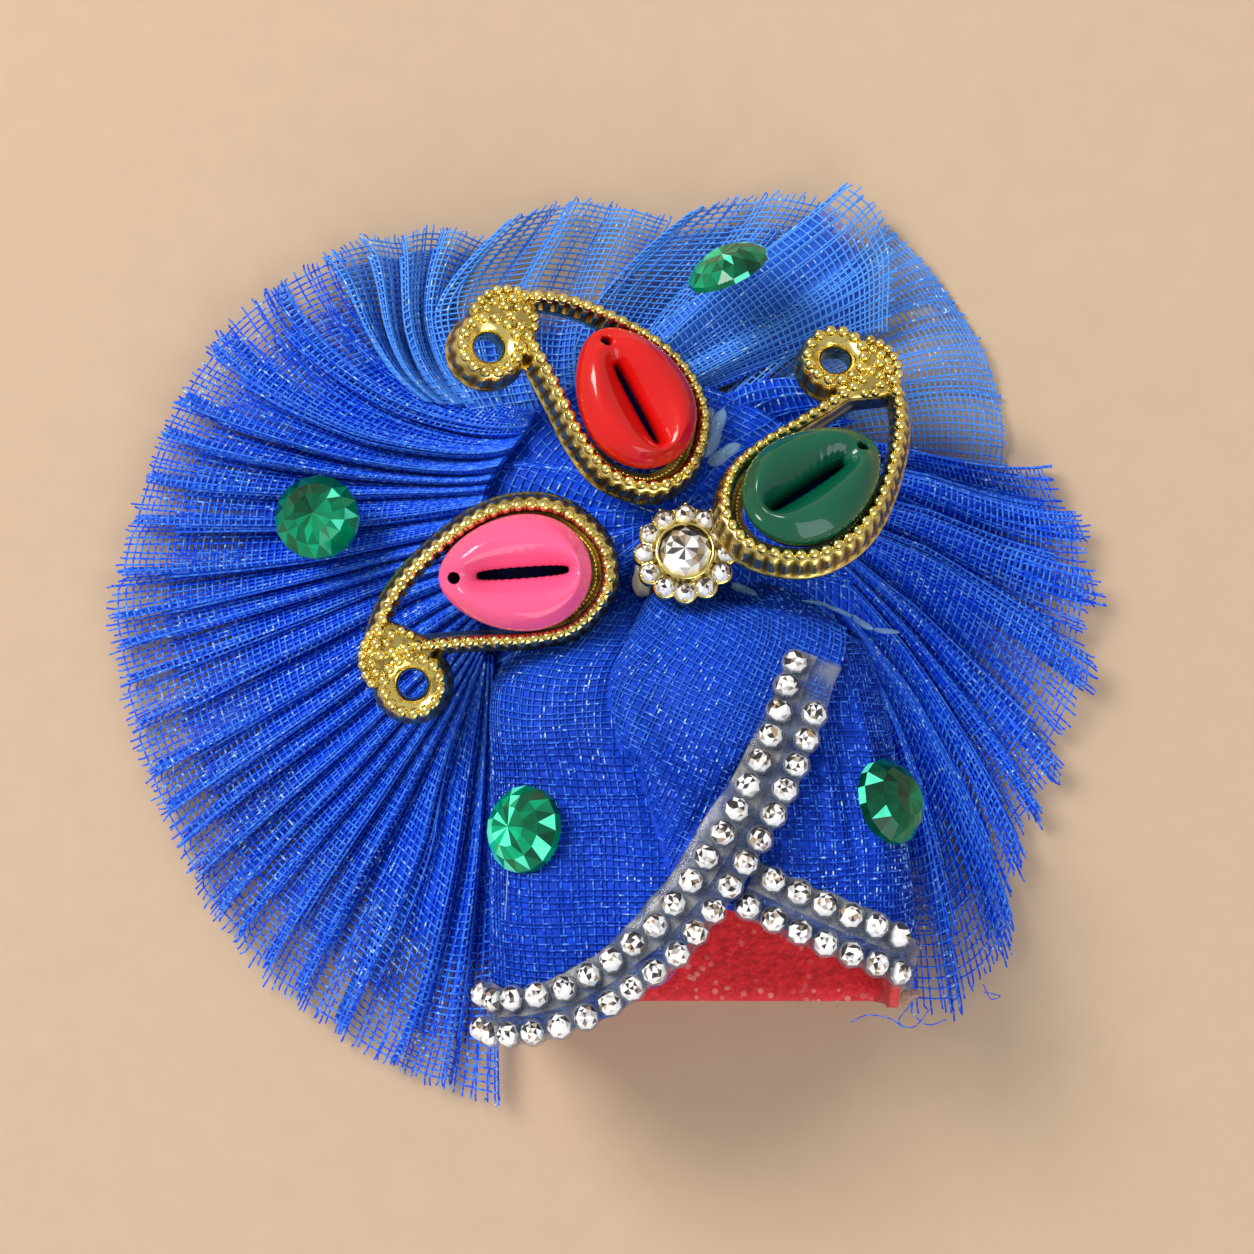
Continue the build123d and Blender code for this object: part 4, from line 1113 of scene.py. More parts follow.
def gathered_middle():
    """Gathered cloth under the frames, round the closed end of the cap."""
    rings, spokes = GATHER_RINGS, GATHER_SPOKES
    around, share = np.arange(spokes) / spokes, np.linspace(1.0, 0.04, rings)[:, None]
    points = gather_place(around, share).reshape(-1, 3)
    plan = np.stack([(points[:, 0] - CAMERA_X) / PLAN_UNIT + PLAN_X,
                     PLAN_Y - (points[:, 1] - CAMERA_Y) / PLAN_UNIT], axis=-1)
    # Painted shade: the cloth is darker in the gap above the left flap's top fold
    dark = 0.50 * (1 - top_gap(plan))
    low = points - np.array([0, 0, 0.3])
    points, faces = closed_end_cloth(points, low, rings, spokes)
    return new_piece("gathered_middle", points, faces, ["ground"],
                     crest=np.concatenate([dark, dark, [0.5, 0.5]]))


def gather_lines(pitch):
    """Thread lines of the gathered cloth: round it, and out from its middle."""
    around = np.linspace(0, 1, GATHER_STEPS)
    girth = run_lengths(gather_place(around, 0.8))
    lift = np.array([0, 0, 0.12])
    lines = []
    for i, turn in enumerate(np.interp(np.arange(0, girth[-1], 1.1 * pitch), girth, around)):
        share = np.linspace(0.10 + 0.35 * (i % 2), 1.0, 14)
        spoke = gather_place(turn + 0.01 * np.sin(share * 6 + turn * 90), share) + lift
        lines.append((spoke, 0.0, np.full(len(share), 0.45)))
    for share in np.arange(0.10, 1.0, 1.2 * pitch / 22.0):
        lines.append((gather_place(around, share) + lift, 1.0, np.full(GATHER_STEPS, 0.45)))
    return lines


# Threads


def node_tree(name, inputs, output):
    """Geometry Nodes tree with named inputs, and a function that adds a node to it."""
    tree = bpy.data.node_groups.new(name, "GeometryNodeTree")
    for label, kind in inputs:
        tree.interface.new_socket(label, in_out="INPUT", socket_type="NodeSocket" + kind)
    tree.interface.new_socket(output, in_out="OUTPUT", socket_type="NodeSocketGeometry")

    def add(kind, links, **settings):
        """Add one node: its settings, then the values and links of its sockets."""
        node = tree.nodes.new(kind)
        for key, value in settings.items():
            setattr(node, key, value)
        for key, value in links.items():
            if isinstance(value, bpy.types.NodeSocket):
                tree.links.new(value, node.inputs[key])
            else:
                node.inputs[key].default_value = value
        return node

    return tree, add


def thread_tree():
    """Geometry Nodes: threads along the edges of a mesh of lines, a flat side up."""
    tree, add = node_tree("Net threads", (
        ("Lines", "Geometry"), ("Thread Width", "Float"), ("Thread Sides", "Int"),
        ("Warp", "Material"), ("Weft", "Material")), "Threads")
    given = add("NodeGroupInput", {}).outputs
    curves = add("GeometryNodeMeshToCurve", {"Mesh": given["Lines"]})
    radius = add("ShaderNodeMath", {0: given["Thread Width"], 1: 0.5}, operation="MULTIPLY")
    ring = add("GeometryNodeCurvePrimitiveCircle", {
        "Resolution": given["Thread Sides"], "Radius": radius.outputs[0]})
    level = add("GeometryNodeSetCurveNormal", {"Curve": curves.outputs[0]}, mode="Z_UP")
    turned = add("GeometryNodeTransform", {
        "Geometry": ring.outputs["Curve"], "Rotation": (0.0, 0.0, 0.5 * math.pi)})
    tubes = add("GeometryNodeCurveToMesh", {
        "Curve": level.outputs[0], "Profile Curve": turned.outputs[0]})
    real = add("GeometryNodeRealizeInstances", {"Geometry": tubes.outputs[0]})
    soft = add("GeometryNodeSetShadeSmooth", {"Geometry": real.outputs[0]})
    warp = add("GeometryNodeSetMaterial", {
        "Geometry": soft.outputs[0], "Material": given["Warp"]})
    flag = add("GeometryNodeInputNamedAttribute", {"Name": "weft"}, data_type="FLOAT")
    chosen = add("FunctionNodeCompare", {"A": flag.outputs["Attribute"], "B": 0.5},
                 data_type="FLOAT", operation="GREATER_THAN")
    weft = add("GeometryNodeSetMaterial", {
        "Geometry": warp.outputs[0], "Selection": chosen.outputs[0],
        "Material": given["Weft"]})
    add("NodeGroupOutput", {0: weft.outputs[0]})
    return tree


def apply_tree(holder, tree, **values):
    """Run a node tree on an object and keep its result as a plain mesh."""
    modifier = holder.modifiers.new(tree.name, "NODES")
    modifier.node_group = tree
    for item in tree.interface.items_tree:
        key = item.name.lower().replace(" ", "_")
        if item.item_type == "SOCKET" and item.in_out == "INPUT" and key in values:
            modifier[item.identifier] = values[key]
    return plain_mesh(holder)


def threads(name, lines, width, warp="net warp", weft="net weft"):
    """Net threads along lines; each point knows its thread and its place along it."""
    points = np.concatenate([line for line, _, _ in lines])
    source = np.random.RandomState(31)
    counts = [len(line) for line, _, _ in lines]
    starts = np.concatenate([[0], np.cumsum(counts)[:-1]])
    edges = np.concatenate([np.stack([np.arange(s, s + n - 1), np.arange(s + 1, s + n)], 1)
                            for s, n in zip(starts, counts)])
    mesh = bpy.data.meshes.new(name)
    mesh.from_pydata(to_metres(points).tolist(), edges.tolist(), [])
    store(mesh, {
        "weft": np.repeat([flag for _, flag, _ in lines], counts),
        "strand": np.repeat([source.rand() for _ in lines], counts),
        "along": np.concatenate([run_lengths(line) for line, _, _ in lines]),
        # Crest value of each point, which sets the threads' painted shade and highlight
        "crest": np.concatenate([crest for _, _, crest in lines]),
    })
    tree = bpy.data.node_groups.get("Net threads") or thread_tree()
    return apply_tree(linked(name, mesh), tree, thread_width=width, thread_sides=3,
                      warp=painted(warp), weft=painted(weft))


# Seated pieces


def turned(turn, lean, towards):
    """Rotation of a glued piece whose face leans towards a direction."""
    spins = [Matrix.Rotation(math.radians(angle), 3, axis)
             for angle, axis in ((towards, "Z"), (lean, "Y"), (turn - towards, "Z"))]
    return np.array(spins[0] @ spins[1] @ spins[2])


def root_seat(side, out, above, turn, lean, towards):
    """Rotation and place of a piece that is glued over the fan's gathered root."""
    height = ROOT_LIFT + ROOT_DEPTH + 3.2 * FAN_WALL + above * FAN_DEPTH
    spot = CLOSED_END + PAISLEY_LENGTH * np.array([side, out, 0.0])
    return turned(turn, lean, towards), spot + np.array([0.0, 0.0, height])


def moved(points, seat):
    """Points of a piece, moved from its own axes to its seat."""
    return np.asarray(points, float) @ seat[0].T + seat[1]


def seat_tree():
    """Geometry Nodes: one small piece at every seat, with a painted reflection value for each
    facet, lighter or darker by the way it faces and at random.
    """
    tree, add = node_tree("Seated pieces", (
        ("Seats", "Geometry"), ("Piece", "Object"), ("Finish", "Material"),
        ("Facet Light", "Float"), ("Facet Shade", "Float"), ("Facet Spread", "Float"),
        ("Seed", "Int")), "Pieces")
    given = add("NodeGroupInput", {}).outputs
    piece = add("GeometryNodeObjectInfo", {"Object": given["Piece"]})
    turn = add("GeometryNodeInputNamedAttribute", {"Name": "turn"}, data_type="FLOAT_VECTOR")
    size = add("GeometryNodeInputNamedAttribute", {"Name": "size"}, data_type="FLOAT")
    seated = add("GeometryNodeInstanceOnPoints", {
        "Points": given["Seats"], "Instance": piece.outputs["Geometry"],
        "Rotation": turn.outputs["Attribute"], "Scale": size.outputs["Attribute"]})
    real = add("GeometryNodeRealizeInstances", {"Geometry": seated.outputs[0]})
    normal = add("ShaderNodeSeparateXYZ", {0: add("GeometryNodeInputNormal", {}).outputs[0]})
    slope = add("ShaderNodeMath", {0: normal.outputs["Y"], 1: given["Facet Shade"],
                                   2: given["Facet Light"]}, operation="MULTIPLY_ADD")
    low = add("ShaderNodeMath", {0: given["Facet Spread"], 1: -1.0}, operation="MULTIPLY")
    chance = add("FunctionNodeRandomValue", {
        2: low.outputs[0], 3: given["Facet Spread"], "Seed": given["Seed"]},
        data_type="FLOAT")
    total = add("ShaderNodeMath", {0: slope.outputs[0], 1: chance.outputs[1]},
                operation="ADD")
    stored = add("GeometryNodeStoreNamedAttribute", {
        "Geometry": real.outputs[0], "Name": "facet", "Value": total.outputs[0]},
        data_type="FLOAT", domain="FACE")
    done = add("GeometryNodeSetMaterial", {
        "Geometry": stored.outputs[0], "Material": given["Finish"]})
    add("NodeGroupOutput", {0: done.outputs[0]})
    return tree


def seated(name, template, seats, paint, light=0.5, shade=0.0, spread=0.0, seed=1):
    """Copies of a small piece at seats of (rotation, place, size)."""
    points, faces, smooth = template
    source = new_piece(name + "_one", np.asarray(points) + CENTRE, faces, [paint], smooth)
    mesh = bpy.data.meshes.new(name)
    mesh.from_pydata(to_metres([spot for _, spot, _ in seats]).tolist(), [], [])
    angles = [list(Matrix(turn.tolist()).to_euler()) for turn, _, _ in seats]
    store(mesh, {"turn": angles}, "FLOAT_VECTOR", "vector")
    store(mesh, {"size": [size for _, _, size in seats]})
    tree = bpy.data.node_groups.get("Seated pieces") or seat_tree()
    piece = apply_tree(linked(name, mesh), tree, piece=source, finish=painted(paint),
                       facet_light=light, facet_shade=shade, facet_spread=spread, seed=seed)
    bpy.data.objects.remove(source)
    return piece


def bead_template(sides=10):
    """Round bead of one millimetre across."""
    rings = [(math.cos(a) * 0.5, math.sin(a) * 0.5) for a in np.radians((-60, -30, 0, 30, 58))]
    points = [(r * math.cos(t), r * math.sin(t), z) for r, z in rings for t in round_steps(sides)]
    return points + [(0, 0, -0.5), (0, 0, 0.5)], tube_faces(len(rings), sides), True


def stone_template(diameter, height, sides, table=0.50):
    """Flat-backed faceted stone: girdle, two rows of crown facets and a table of wedges."""
    half, step = 0.5 * diameter, 2 * math.pi / sides

    def ring(radius, z, shift):
        """Corners of one row, turned by a share of a step."""
        return [(radius * math.cos((i + shift) * step), radius * math.sin((i + shift) * step), z)
                for i in range(sides)]

    points = (ring(half, 0.0, 0) + ring(half, 0.28 * height, 0)
              + ring(half * (0.5 + 0.5 * table) * 1.02, 0.74 * height, 0.5)
              + ring(half * table, height, 0) + [(0, 0, 0), (0, 0, height * 0.97)])
    faces = []
    for i in range(sides):
        j = (i + 1) % sides
        g, n, m, o, t, u = (sides + i, sides + j, 2 * sides + i, 2 * sides + j,
                            3 * sides + i, 3 * sides + j)
        faces += [(i, j, n, g), (g, n, m), (m, n, o), (m, o, u), (t, m, u)]
        faces += [(t, u, 4 * sides + 1), (j, i, 4 * sides)]
    return points, faces, False


# Paisley frames


BULB_CREST = np.array([
    (-0.236, 0.012), (-0.198, -0.128), (-0.086, -0.236), (0.062, -0.289), (0.262, -0.300),
    (0.432, -0.278), (0.560, -0.222), (0.612, -0.160), (0.512, -0.106), (0.402, -0.028),
    (0.290, 0.062), (0.172, 0.160), (0.034, 0.232), (-0.124, 0.216), (-0.214, 0.126),
])
CURL = np.array([0.598, 0.0]) * PAISLEY_LENGTH
BEAD_PITCH = 1.5
# Points of the crest line for each bead, and round the curl and the neck's plate
BEAD_STEPS, CURL_STEPS, NECK_STEPS = 10, 84, 44
# Beads on the curl: count and ring's radius. The neck's beads: pitch, least gap between
# centres, and the rows as shares of the neck's outline
CURL_BEADS, CURL_BEAD_RING = 14, 3.3
NECK_PITCH, NECK_GAP, NECK_ROWS = 1.20, 1.04, (0.88, 0.62, 0.36, 0.12)
# Height and size of the crest's, the curl's and the ledge's beads, and size of the neck's
CREST_BEAD, CURL_BEAD, LEDGE_BEAD, NECK_BEAD = (3.56, 1.36), (3.52, 1.44), (1.42, 0.46), 1.16
# Ribs of the frame and its curl and the ladder's notches, in millimetres, points of a bead's
# step that a notch takes, and the tail that has them: below this y and between these x
RIB, CURL_RIB, NOTCH, NOTCH_STEPS = 0.11, 0.10, 0.62, (3, 7)
TAIL_BELOW, TAIL_FROM, TAIL_TO = -5.5, 4.5, 18.6
# Frame's section from its outer foot over the crest to its inner foot: millimetres outward
# of the crest line and height; the last rows also carry the ledge under the shell
FRAME_SECTION = np.array([
    (1.45, 0.0), (1.50, 0.45), (1.30, 0.62), (1.14, 1.30), (1.02, 2.30), (0.78, 3.05),
    (0.46, 3.32), (0.0, 3.38), (-0.44, 3.28), (-0.70, 2.85), (-0.84, 2.20), (-0.90, 1.50),
    (-0.98, 1.32), (-1.04, 1.00), (-1.00, 0.0),
])
CURL_SECTION = np.array([
    (4.70, 0.0), (4.75, 0.45), (4.55, 0.65), (4.40, 1.40), (4.22, 2.40), (3.90, 3.10),
    (3.55, 3.40), (3.20, 3.45), (2.85, 3.36), (2.45, 3.16), (2.05, 2.88), (1.78, 2.50),
    (1.66, 1.60), (1.62, 0.0),
])
NECK = np.array([
    (15.7, -5.7), (15.0, -4.0), (14.4, -2.4), (15.4, -0.9), (16.6, -0.6), (17.4, -2.0),
    (19.4, -2.9), (21.4, -2.2), (23.3, -3.0), (22.4, -6.0), (20.2, -7.7), (17.6, -8.1),
    (16.4, -7.1),
])


def closed_curve(points, count):
    """Evenly spaced points on a smooth closed curve through the given points."""
    p = [np.roll(points, shift, axis=0) for shift in (1, 0, -1, -2)]
    t = np.linspace(0, 1, 40, endpoint=False)[None, :, None]
    a, b, c, d = (item[:, None, :] for item in p)
    fine = 0.5 * (2 * b + (c - a) * t + (2 * a - 5 * b + 4 * c - d) * t ** 2
                  + (3 * b - a - 3 * c + d) * t ** 3)
    fine = fine.reshape(-1, points.shape[1])
    fine = np.concatenate([fine, fine[:1]])
    length = run_lengths(fine)
    want = np.linspace(0, length[-1], count, endpoint=False)
    return np.stack([np.interp(want, length, fine[:, k]) for k in range(fine.shape[1])],
                    axis=1), length[-1]


def swept_ring(line, outward, section, push):
    """Closed solid swept round a closed line; push moves points outward."""
    rows, columns = len(line), len(section)
    out = section[None, :, 0] + push
    flat = line[:, None, :] + outward[:, None, :] * out[..., None]
    z = np.broadcast_to(section[None, :, 1:], (rows, columns, 1))
    points = np.concatenate([flat, z], axis=-1).reshape(-1, 3)
    faces = []
    for a in range(0, rows * columns, columns):
        b = (a + columns) % (rows * columns)
        for k in range(columns):
            n = (k + 1) % columns
            faces.append((a + k, b + k, b + n, a + n))
    return points, faces


def frame_line():
    """Crest line of a frame, its outward directions, and where the shell's ledge shows."""
    _, length = closed_curve(BULB_CREST * PAISLEY_LENGTH, 10)
    steps = round(length / BEAD_PITCH) * BEAD_STEPS
    line, _ = closed_curve(BULB_CREST * PAISLEY_LENGTH, steps)
    ahead = unit(np.roll(line, -1, 0) - np.roll(line, 1, 0))
    outward = np.stack([ahead[:, 1], -ahead[:, 0]], axis=1)
    return line, outward, np.clip((7.0 - line[:, 0]) / 4.0, 0, 1)


def frame_wall(line, outward, ledge):
    """Wall of the frame, ribbed outside, with ladder notches in its tail and a ledge inside."""
    phase = np.arange(len(line)) % BEAD_STEPS
    rib = np.cos(2 * np.pi * phase / BEAD_STEPS)[:, None]
    push = np.zeros((len(line), len(FRAME_SECTION)))
    hollow = np.zeros_like(push)
    push[:, 3:6] += RIB * rib
    # Painted shade: darker in the grooves between the ribs, in the notches and along the ledge
    hollow[:, 2:6] = 0.55 - 0.45 * rib
    tail = (line[:, 1] < TAIL_BELOW) & (line[:, 0] > TAIL_FROM) & (line[:, 0] < TAIL_TO)
    notch = (tail & (phase >= NOTCH_STEPS[0]) & (phase <= NOTCH_STEPS[1]))[:, None]
    push[:, 9:12] += np.where(notch, NOTCH, 0.0)
    hollow[:, 9:12] = np.where(notch, 1.0, 0.25)
    push[:, 12:] -= ledge[:, None]
    hollow[:, 11:13] = np.maximum(hollow[:, 11:13], 0.55)
    return (*swept_ring(line, outward, FRAME_SECTION, push), hollow.ravel())


def curl_ring():
    """Pierced curl at the frame's tip, ribbed outside."""
    rib = np.cos(CURL_BEADS * round_steps(CURL_STEPS))[:, None]
    push = np.zeros((CURL_STEPS, len(CURL_SECTION)))
    hollow = np.zeros_like(push)
    push[:, 3:6] = CURL_RIB * rib
    # Painted shade: darker in the grooves between the curl's ribs
    hollow[:, 2:5] = 0.55 - 0.45 * rib
    line = np.tile(CURL, (CURL_STEPS, 1))
    ring = swept_ring(line, around_circle(CURL_STEPS), CURL_SECTION, push)
    return (*ring, hollow.ravel())


def neck_plate(outline):
    """Low plate between the frame and its curl."""
    centre = outline.mean(0)
    rings = [at_height(centre + (outline - centre) * share, z)
             for share, z in ((1.0, 0.0), (1.0, 2.3), (0.95, 2.95), (0.6, 3.25))]
    points = np.concatenate(rings + [[[*centre, 0.0]], [[*centre, 3.35]]])
    # Painted shade: the low plate is a little darker all over
    return points, tube_faces(len(rings), NECK_STEPS), np.full(len(points), 0.35)


def frame_beads(line, outward, ledge, neck):
    """Places and sizes of a frame's beads: on the crest, the curl, the neck and the ledge."""
    beads = [(*spot, *CREST_BEAD) for spot in line[::BEAD_STEPS]]
    beads += [(*(CURL + CURL_BEAD_RING * np.array([math.cos(a), math.sin(a)])), *CURL_BEAD)
              for a in np.radians(np.arange(0, 360, 360 / CURL_BEADS))]
    middle = neck.mean(0)
    for share in NECK_ROWS:
        row = middle + share * (neck - middle)
        row = np.concatenate([row, row[:1]])
        walk = run_lengths(row)
        for reach in np.arange(0, walk[-1], NECK_PITCH):
            x, y = np.interp(reach, walk, row[:, 0]), np.interp(reach, walk, row[:, 1])
            if min(math.hypot(x - bead[0], y - bead[1]) for bead in beads) > NECK_GAP:
                beads.append((x, y, 3.20 + 0.12 * (1 - share), NECK_BEAD))
    fine = ledge[::4] > 0.6
    small = line[::4][fine] - outward[::4][fine] * 1.32
    return beads + [(*spot, *LEDGE_BEAD) for spot in small]


def frame_parts():
    """Paisley frame in its own axes: body points, faces, painted shade of its recesses, and beads
    with sizes.
    """
    line, outward, ledge = frame_line()
    neck, _ = closed_curve(NECK, NECK_STEPS)
    points, faces, hollow_shades = [], [], []
    for part, sides, hollow in (frame_wall(line, outward, ledge), curl_ring(), neck_plate(neck)):
        start = sum(len(other) for other in points)
        faces += [tuple(i + start for i in side) for side in sides]
        points.append(part)
        hollow_shades.append(hollow)
    return (np.concatenate(points), faces, np.concatenate(hollow_shades),
            frame_beads(line, outward, ledge, neck))


# Cowries


COWRIE_LENGTH, COWRIE_WIDTH, COWRIE_HEIGHT = 17.6, 13.6, 5.0
SLIT_LENGTH, SLIT_WIDTH, HOLE_SIZE = 10.6, 1.35, 1.45
# Points round a shell, its hole and the card under it, and waves of the slit's teeth
SHELL_STEPS, HOLE_STEPS, CARD_STEPS, TEETH = 128, 27, 64, 34
# Shell in its frame: across and along as shares of the frame's length, up as a share of its
# height, and turn
COWRIE_SEAT = (0.060, -0.052, 0.48, -38.0)
# Groove's half width and the teeth of the slit, for each shell
COWRIE_LIPS = {"red": (2.3, 0.04), "green": (2.0, 0.05), "pink": (1.35, 0.06)}
# Shell's section from its flat back, over the lips and down to the slit: share of the way
# in from the outline to the slit, girth and height as shares
SHELL_SECTION = [
    (0.00, 0.84, 0.00), (0.00, 0.93, 0.10), (0.00, 0.985, 0.26), (0.00, 1.00, 0.42),
    (0.00, 0.985, 0.56), (0.00, 0.93, 0.70), (0.06, 0.90, 0.82), (0.15, 0.90, 0.91),
    (0.27, 0.92, 0.975), (0.40, 0.95, 1.00), (0.54, 0.97, 0.985), (0.67, 0.98, 0.92),
    (0.79, 0.99, 0.80), (0.89, 1.00, 0.66), (0.96, 1.00, 0.55), (1.00, 1.00, 0.46),
    (1.00, 1.00, 0.25), (1.00, 1.00, 0.00),
]


def egg_outline(angle):
    """Outline of a cowrie, with its narrow end along +x."""
    reach = 0.5 * COWRIE_LENGTH
    x = reach * np.cos(angle)
    half = 0.5 * COWRIE_WIDTH * np.sin(angle)
    narrow = 1 - 0.26 * (0.5 + 0.5 * np.cos(angle)) ** 1.4
    return np.stack([x, half * narrow * 1.09], axis=-1)


def cowrie_place(seat):
    """Rotation and place of a cowrie in its frame's seat."""
    across, along, up, turn = COWRIE_SEAT
    c, s = math.cos(math.radians(turn)), math.sin(math.radians(turn))
    spot = np.array([across * PAISLEY_LENGTH, along * PAISLEY_LENGTH, up * FRAME_HEIGHT])
    return seat[0] @ np.array([[c, -s, 0], [s, c, 0], [0, 0, 1]]), seat[0] @ spot + seat[1]


def cowrie_shell(name, paint, seat, groove, teeth):
    """Moulded cowrie: two lips, a groove with a slit through it, and a threading hole."""
    count, angle = SHELL_STEPS, round_steps(SHELL_STEPS)
    outline = egg_outline(angle)
    along, aside = np.cos(angle), np.sin(angle)
    wave = 1 + teeth * np.cos(TEETH * np.arccos(np.clip(along, -1, 1)))
    slit = np.stack([0.5 * SLIT_LENGTH * along - 0.05 * COWRIE_LENGTH,
                     0.5 * SLIT_WIDTH * np.sign(aside) * np.abs(aside) ** 0.45 * wave], axis=-1)
    rings = []
    for share, girth, up in SHELL_SECTION:
        flat = (1 - share) * outline * girth + share * slit
        z = np.full(count, COWRIE_HEIGHT * up)
        if up > 0.5 and share < 1:
            ends = np.clip(np.abs(flat[:, 0] / (0.5 * COWRIE_LENGTH)), 0, 1)
            valley = np.exp(-(flat[:, 1] / groove) ** 2) * (1 - 0.55 * ends ** 3)
            lips = np.clip((up - 0.5) / 0.4, 0, 1) * (1 - 0.75 * share)
            z = z - valley * 0.46 * COWRIE_HEIGHT * lips
        rings.append(at_height(flat, z))
    faces = ring_faces(len(rings), count)
    place = cowrie_place(seat)
    shell = new_piece(name, moved(np.concatenate(rings), place), faces, [paint])
    ring = np.array([0.40 * COWRIE_LENGTH, 0.0]) + 0.5 * HOLE_SIZE * around_circle(HOLE_STEPS)
    drill = np.concatenate([at_height(ring, z) for z in (-1.0, 8.0)])
    cutter = new_piece(name + "_drill", moved(drill, place), prism_faces(HOLE_STEPS), [paint])
    cut = shell.modifiers.new("hole", "BOOLEAN")
    cut.object, cut.operation, cut.solver = cutter, "DIFFERENCE", "EXACT"
    plain_mesh(shell)
    bpy.data.objects.remove(cutter)
    return shell


def shell_shade_card(name, seat):
    """Dark card under a cowrie that stands in for the shade inside the shell, seen through its
    slit and its hole.
    """
    outline = 0.90 * egg_outline(round_steps(CARD_STEPS))
    points = np.concatenate([at_height(outline, z) for z in (-0.35, -0.05)])
    return new_piece(name, moved(points, cowrie_place(seat)), prism_faces(CARD_STEPS),
                     ["lining"])


# Flower, trims and stones


FLOWER_DIAMETER, PETAL_COUNT, PETAL_STONE, CENTRE_STONE, GREEN_STONE = 12.0, 12, 2.3, 6.0, 10.0
# Points round the flower's plate, a small stone's cup and a drop of glue, and a drop's rings
FLOWER_STEPS, CUP_STEPS, DROP_STEPS, DROP_RINGS = 240, 16, 28, 13
PETAL_RING = 0.5 * (FLOWER_DIAMETER - PETAL_STONE) - 0.15
STRIP_WALL, STONE_LIFT, STONE_SIZE, STONE_HEIGHT = 0.8, 0.35, 2.8, 1.4
STONE_PITCH, STONE_ROWS, ROUTE_STEPS = 3.15, 4.0, 12
# Step in millimetres in which a seat is looked for along a strip, and the strip's two edges
# aside of its middle
SEAT_STEP, STRIP_LOW, STRIP_HIGH = 0.1, -3.15, 3.25

LONG_ROUTE = [
    (-1.14, 0.045), (-0.98, 0.043), (-0.80, 0.056), (-0.60, 0.085), (-0.39, 0.135),
    (-0.18, 0.210), (-0.01, 0.302), (0.13, 0.398), (0.27, 0.493), (0.40, 0.592),
    (0.51, 0.690), (0.63, 0.790),
]
SHORT_ROUTE = [
    (0.205, 0.318), (0.37, 0.283), (0.56, 0.243), (0.74, 0.208), (0.90, 0.172),
    (1.04, 0.140),
]
# Rows of stones: side of the strip's middle, start and count
LONG_STONES = [(1, 0.9, 21), (-1, 0.9, 20)]
SHORT_STONES = [(1, 2.3, 6), (-1, 1.0, 7)]
FLAP_STONES = {"green_stone_left_flap": (True, -0.82, 0.431),
               "green_stone_right_flap": (False, 0.93, 0.483)}
# Fan stones: angle and reach about the hub, height, lean, towards
FAN_STONES = {"green_stone_fan_left": (167.5, 0.655, 1.10, 12.0, 120.0),
              "green_stone_fan_top": (81.9, 0.580, 1.30, 66.0, 116.0)}


def flower_plate():
    """Gold plate of the flower with its collet, stem and a rim round every petal stone."""
    lobes = np.abs(np.cos(0.5 * PETAL_COUNT * round_steps(FLOWER_STEPS)))
    edge = PETAL_RING + (0.5 * PETAL_STONE + 0.22) * (0.42 + 0.58 * lobes ** 0.8)
    inner = 0.5 * CENTRE_STONE + 0.08
    # Whether a ring follows the lobes, its reach from them or from the middle, and its height
    rows = [(0, 1.4, -4.1), (0, 1.4, 0.0), (1, -0.25, 0.0), (1, 0.0, 0.2), (1, 0.0, 1.0),
            (1, -0.12, 1.25), (0, inner + 1.05, 1.3), (0, inner + 0.62, 1.5),
            (0, inner + 0.42, 2.35), (0, inner + 0.20, 2.55), (0, inner, 2.4),
            (0, inner - 0.05, 1.25)]
    ring = around_circle(FLOWER_STEPS)
    rings = [at_height(ring * (lobed * edge + reach)[:, None], z) for lobed, reach, z in rows]
    points = np.concatenate(rings + [[[0, 0, -4.1], [0, 0, 1.25]]])
    return points, tube_faces(len(rows), FLOWER_STEPS)


def petal_seats(seat):
    """Seats of the flower's petal stones, and of the claws between and outside them."""
    seats, claws = [], []
    for i in range(PETAL_COUNT):
        angle = 2 * math.pi * i / PETAL_COUNT
        spot = (PETAL_RING * math.cos(angle), PETAL_RING * math.sin(angle), 1.25)
        seats.append((seat[0] @ turned(math.degrees(angle) + 15, 0, 0),
                      moved([spot], seat)[0], 1.0))
        for turn, reach in ((0.0, 5.85), (math.pi / PETAL_COUNT, 5.15)):
            claw = (reach * math.cos(angle + turn), reach * math.sin(angle + turn), 1.85)
            claws.append((seat[0], moved([claw], seat)[0], 0.42))
    return seats, claws


def flap_normal(left, across, along, lift):
    """Outward directions of a flap at a height over its inner face."""
    aside, back, ahead, behind = (
        flap_place(left, across + a, along + b, lift)
        for a, b in ((0.01, 0), (-0.01, 0), (0, 0.004), (0, -0.004)))
    return unit(np.cross(aside - back, ahead - behind))


def facing(normal, ahead):
    """Rotation whose z is a normal and whose x points ahead, square to it."""
    ahead = unit(ahead - normal * (ahead @ normal))
    return np.stack([ahead, np.cross(normal, ahead), normal], axis=1)


def route_line(route, left):
    """Fine points of a strip's middle line, its outward directions and lengths."""
    rows = np.array(route)
    steps = (np.arange(ROUTE_STEPS) / ROUTE_STEPS)[None, :, None]
    places = (rows[:-1, None] + steps * (rows[1:] - rows[:-1])[:, None]).reshape(-1, 2)
    points = flap_place(left, *places.T, NET_WALL)
    return points, flap_normal(left, *places.T, NET_WALL), run_lengths(points)


def strip_station(line, want):
    """Rotation (along, across, outward) and place on a strip's middle line."""
    points, normals, lengths = line
    k = int(np.clip(np.searchsorted(lengths, want), 1, len(lengths) - 1))
    share = (want - lengths[k - 1]) / (lengths[k] - lengths[k - 1])
    low, high = max(k - ROUTE_STEPS // 2, 0), min(k + ROUTE_STEPS // 2, len(points))
    turn = facing(unit(normals[low:high].sum(0)), points[high - 1] - points[low])
    return turn, points[k - 1] + (points[k] - points[k - 1]) * share


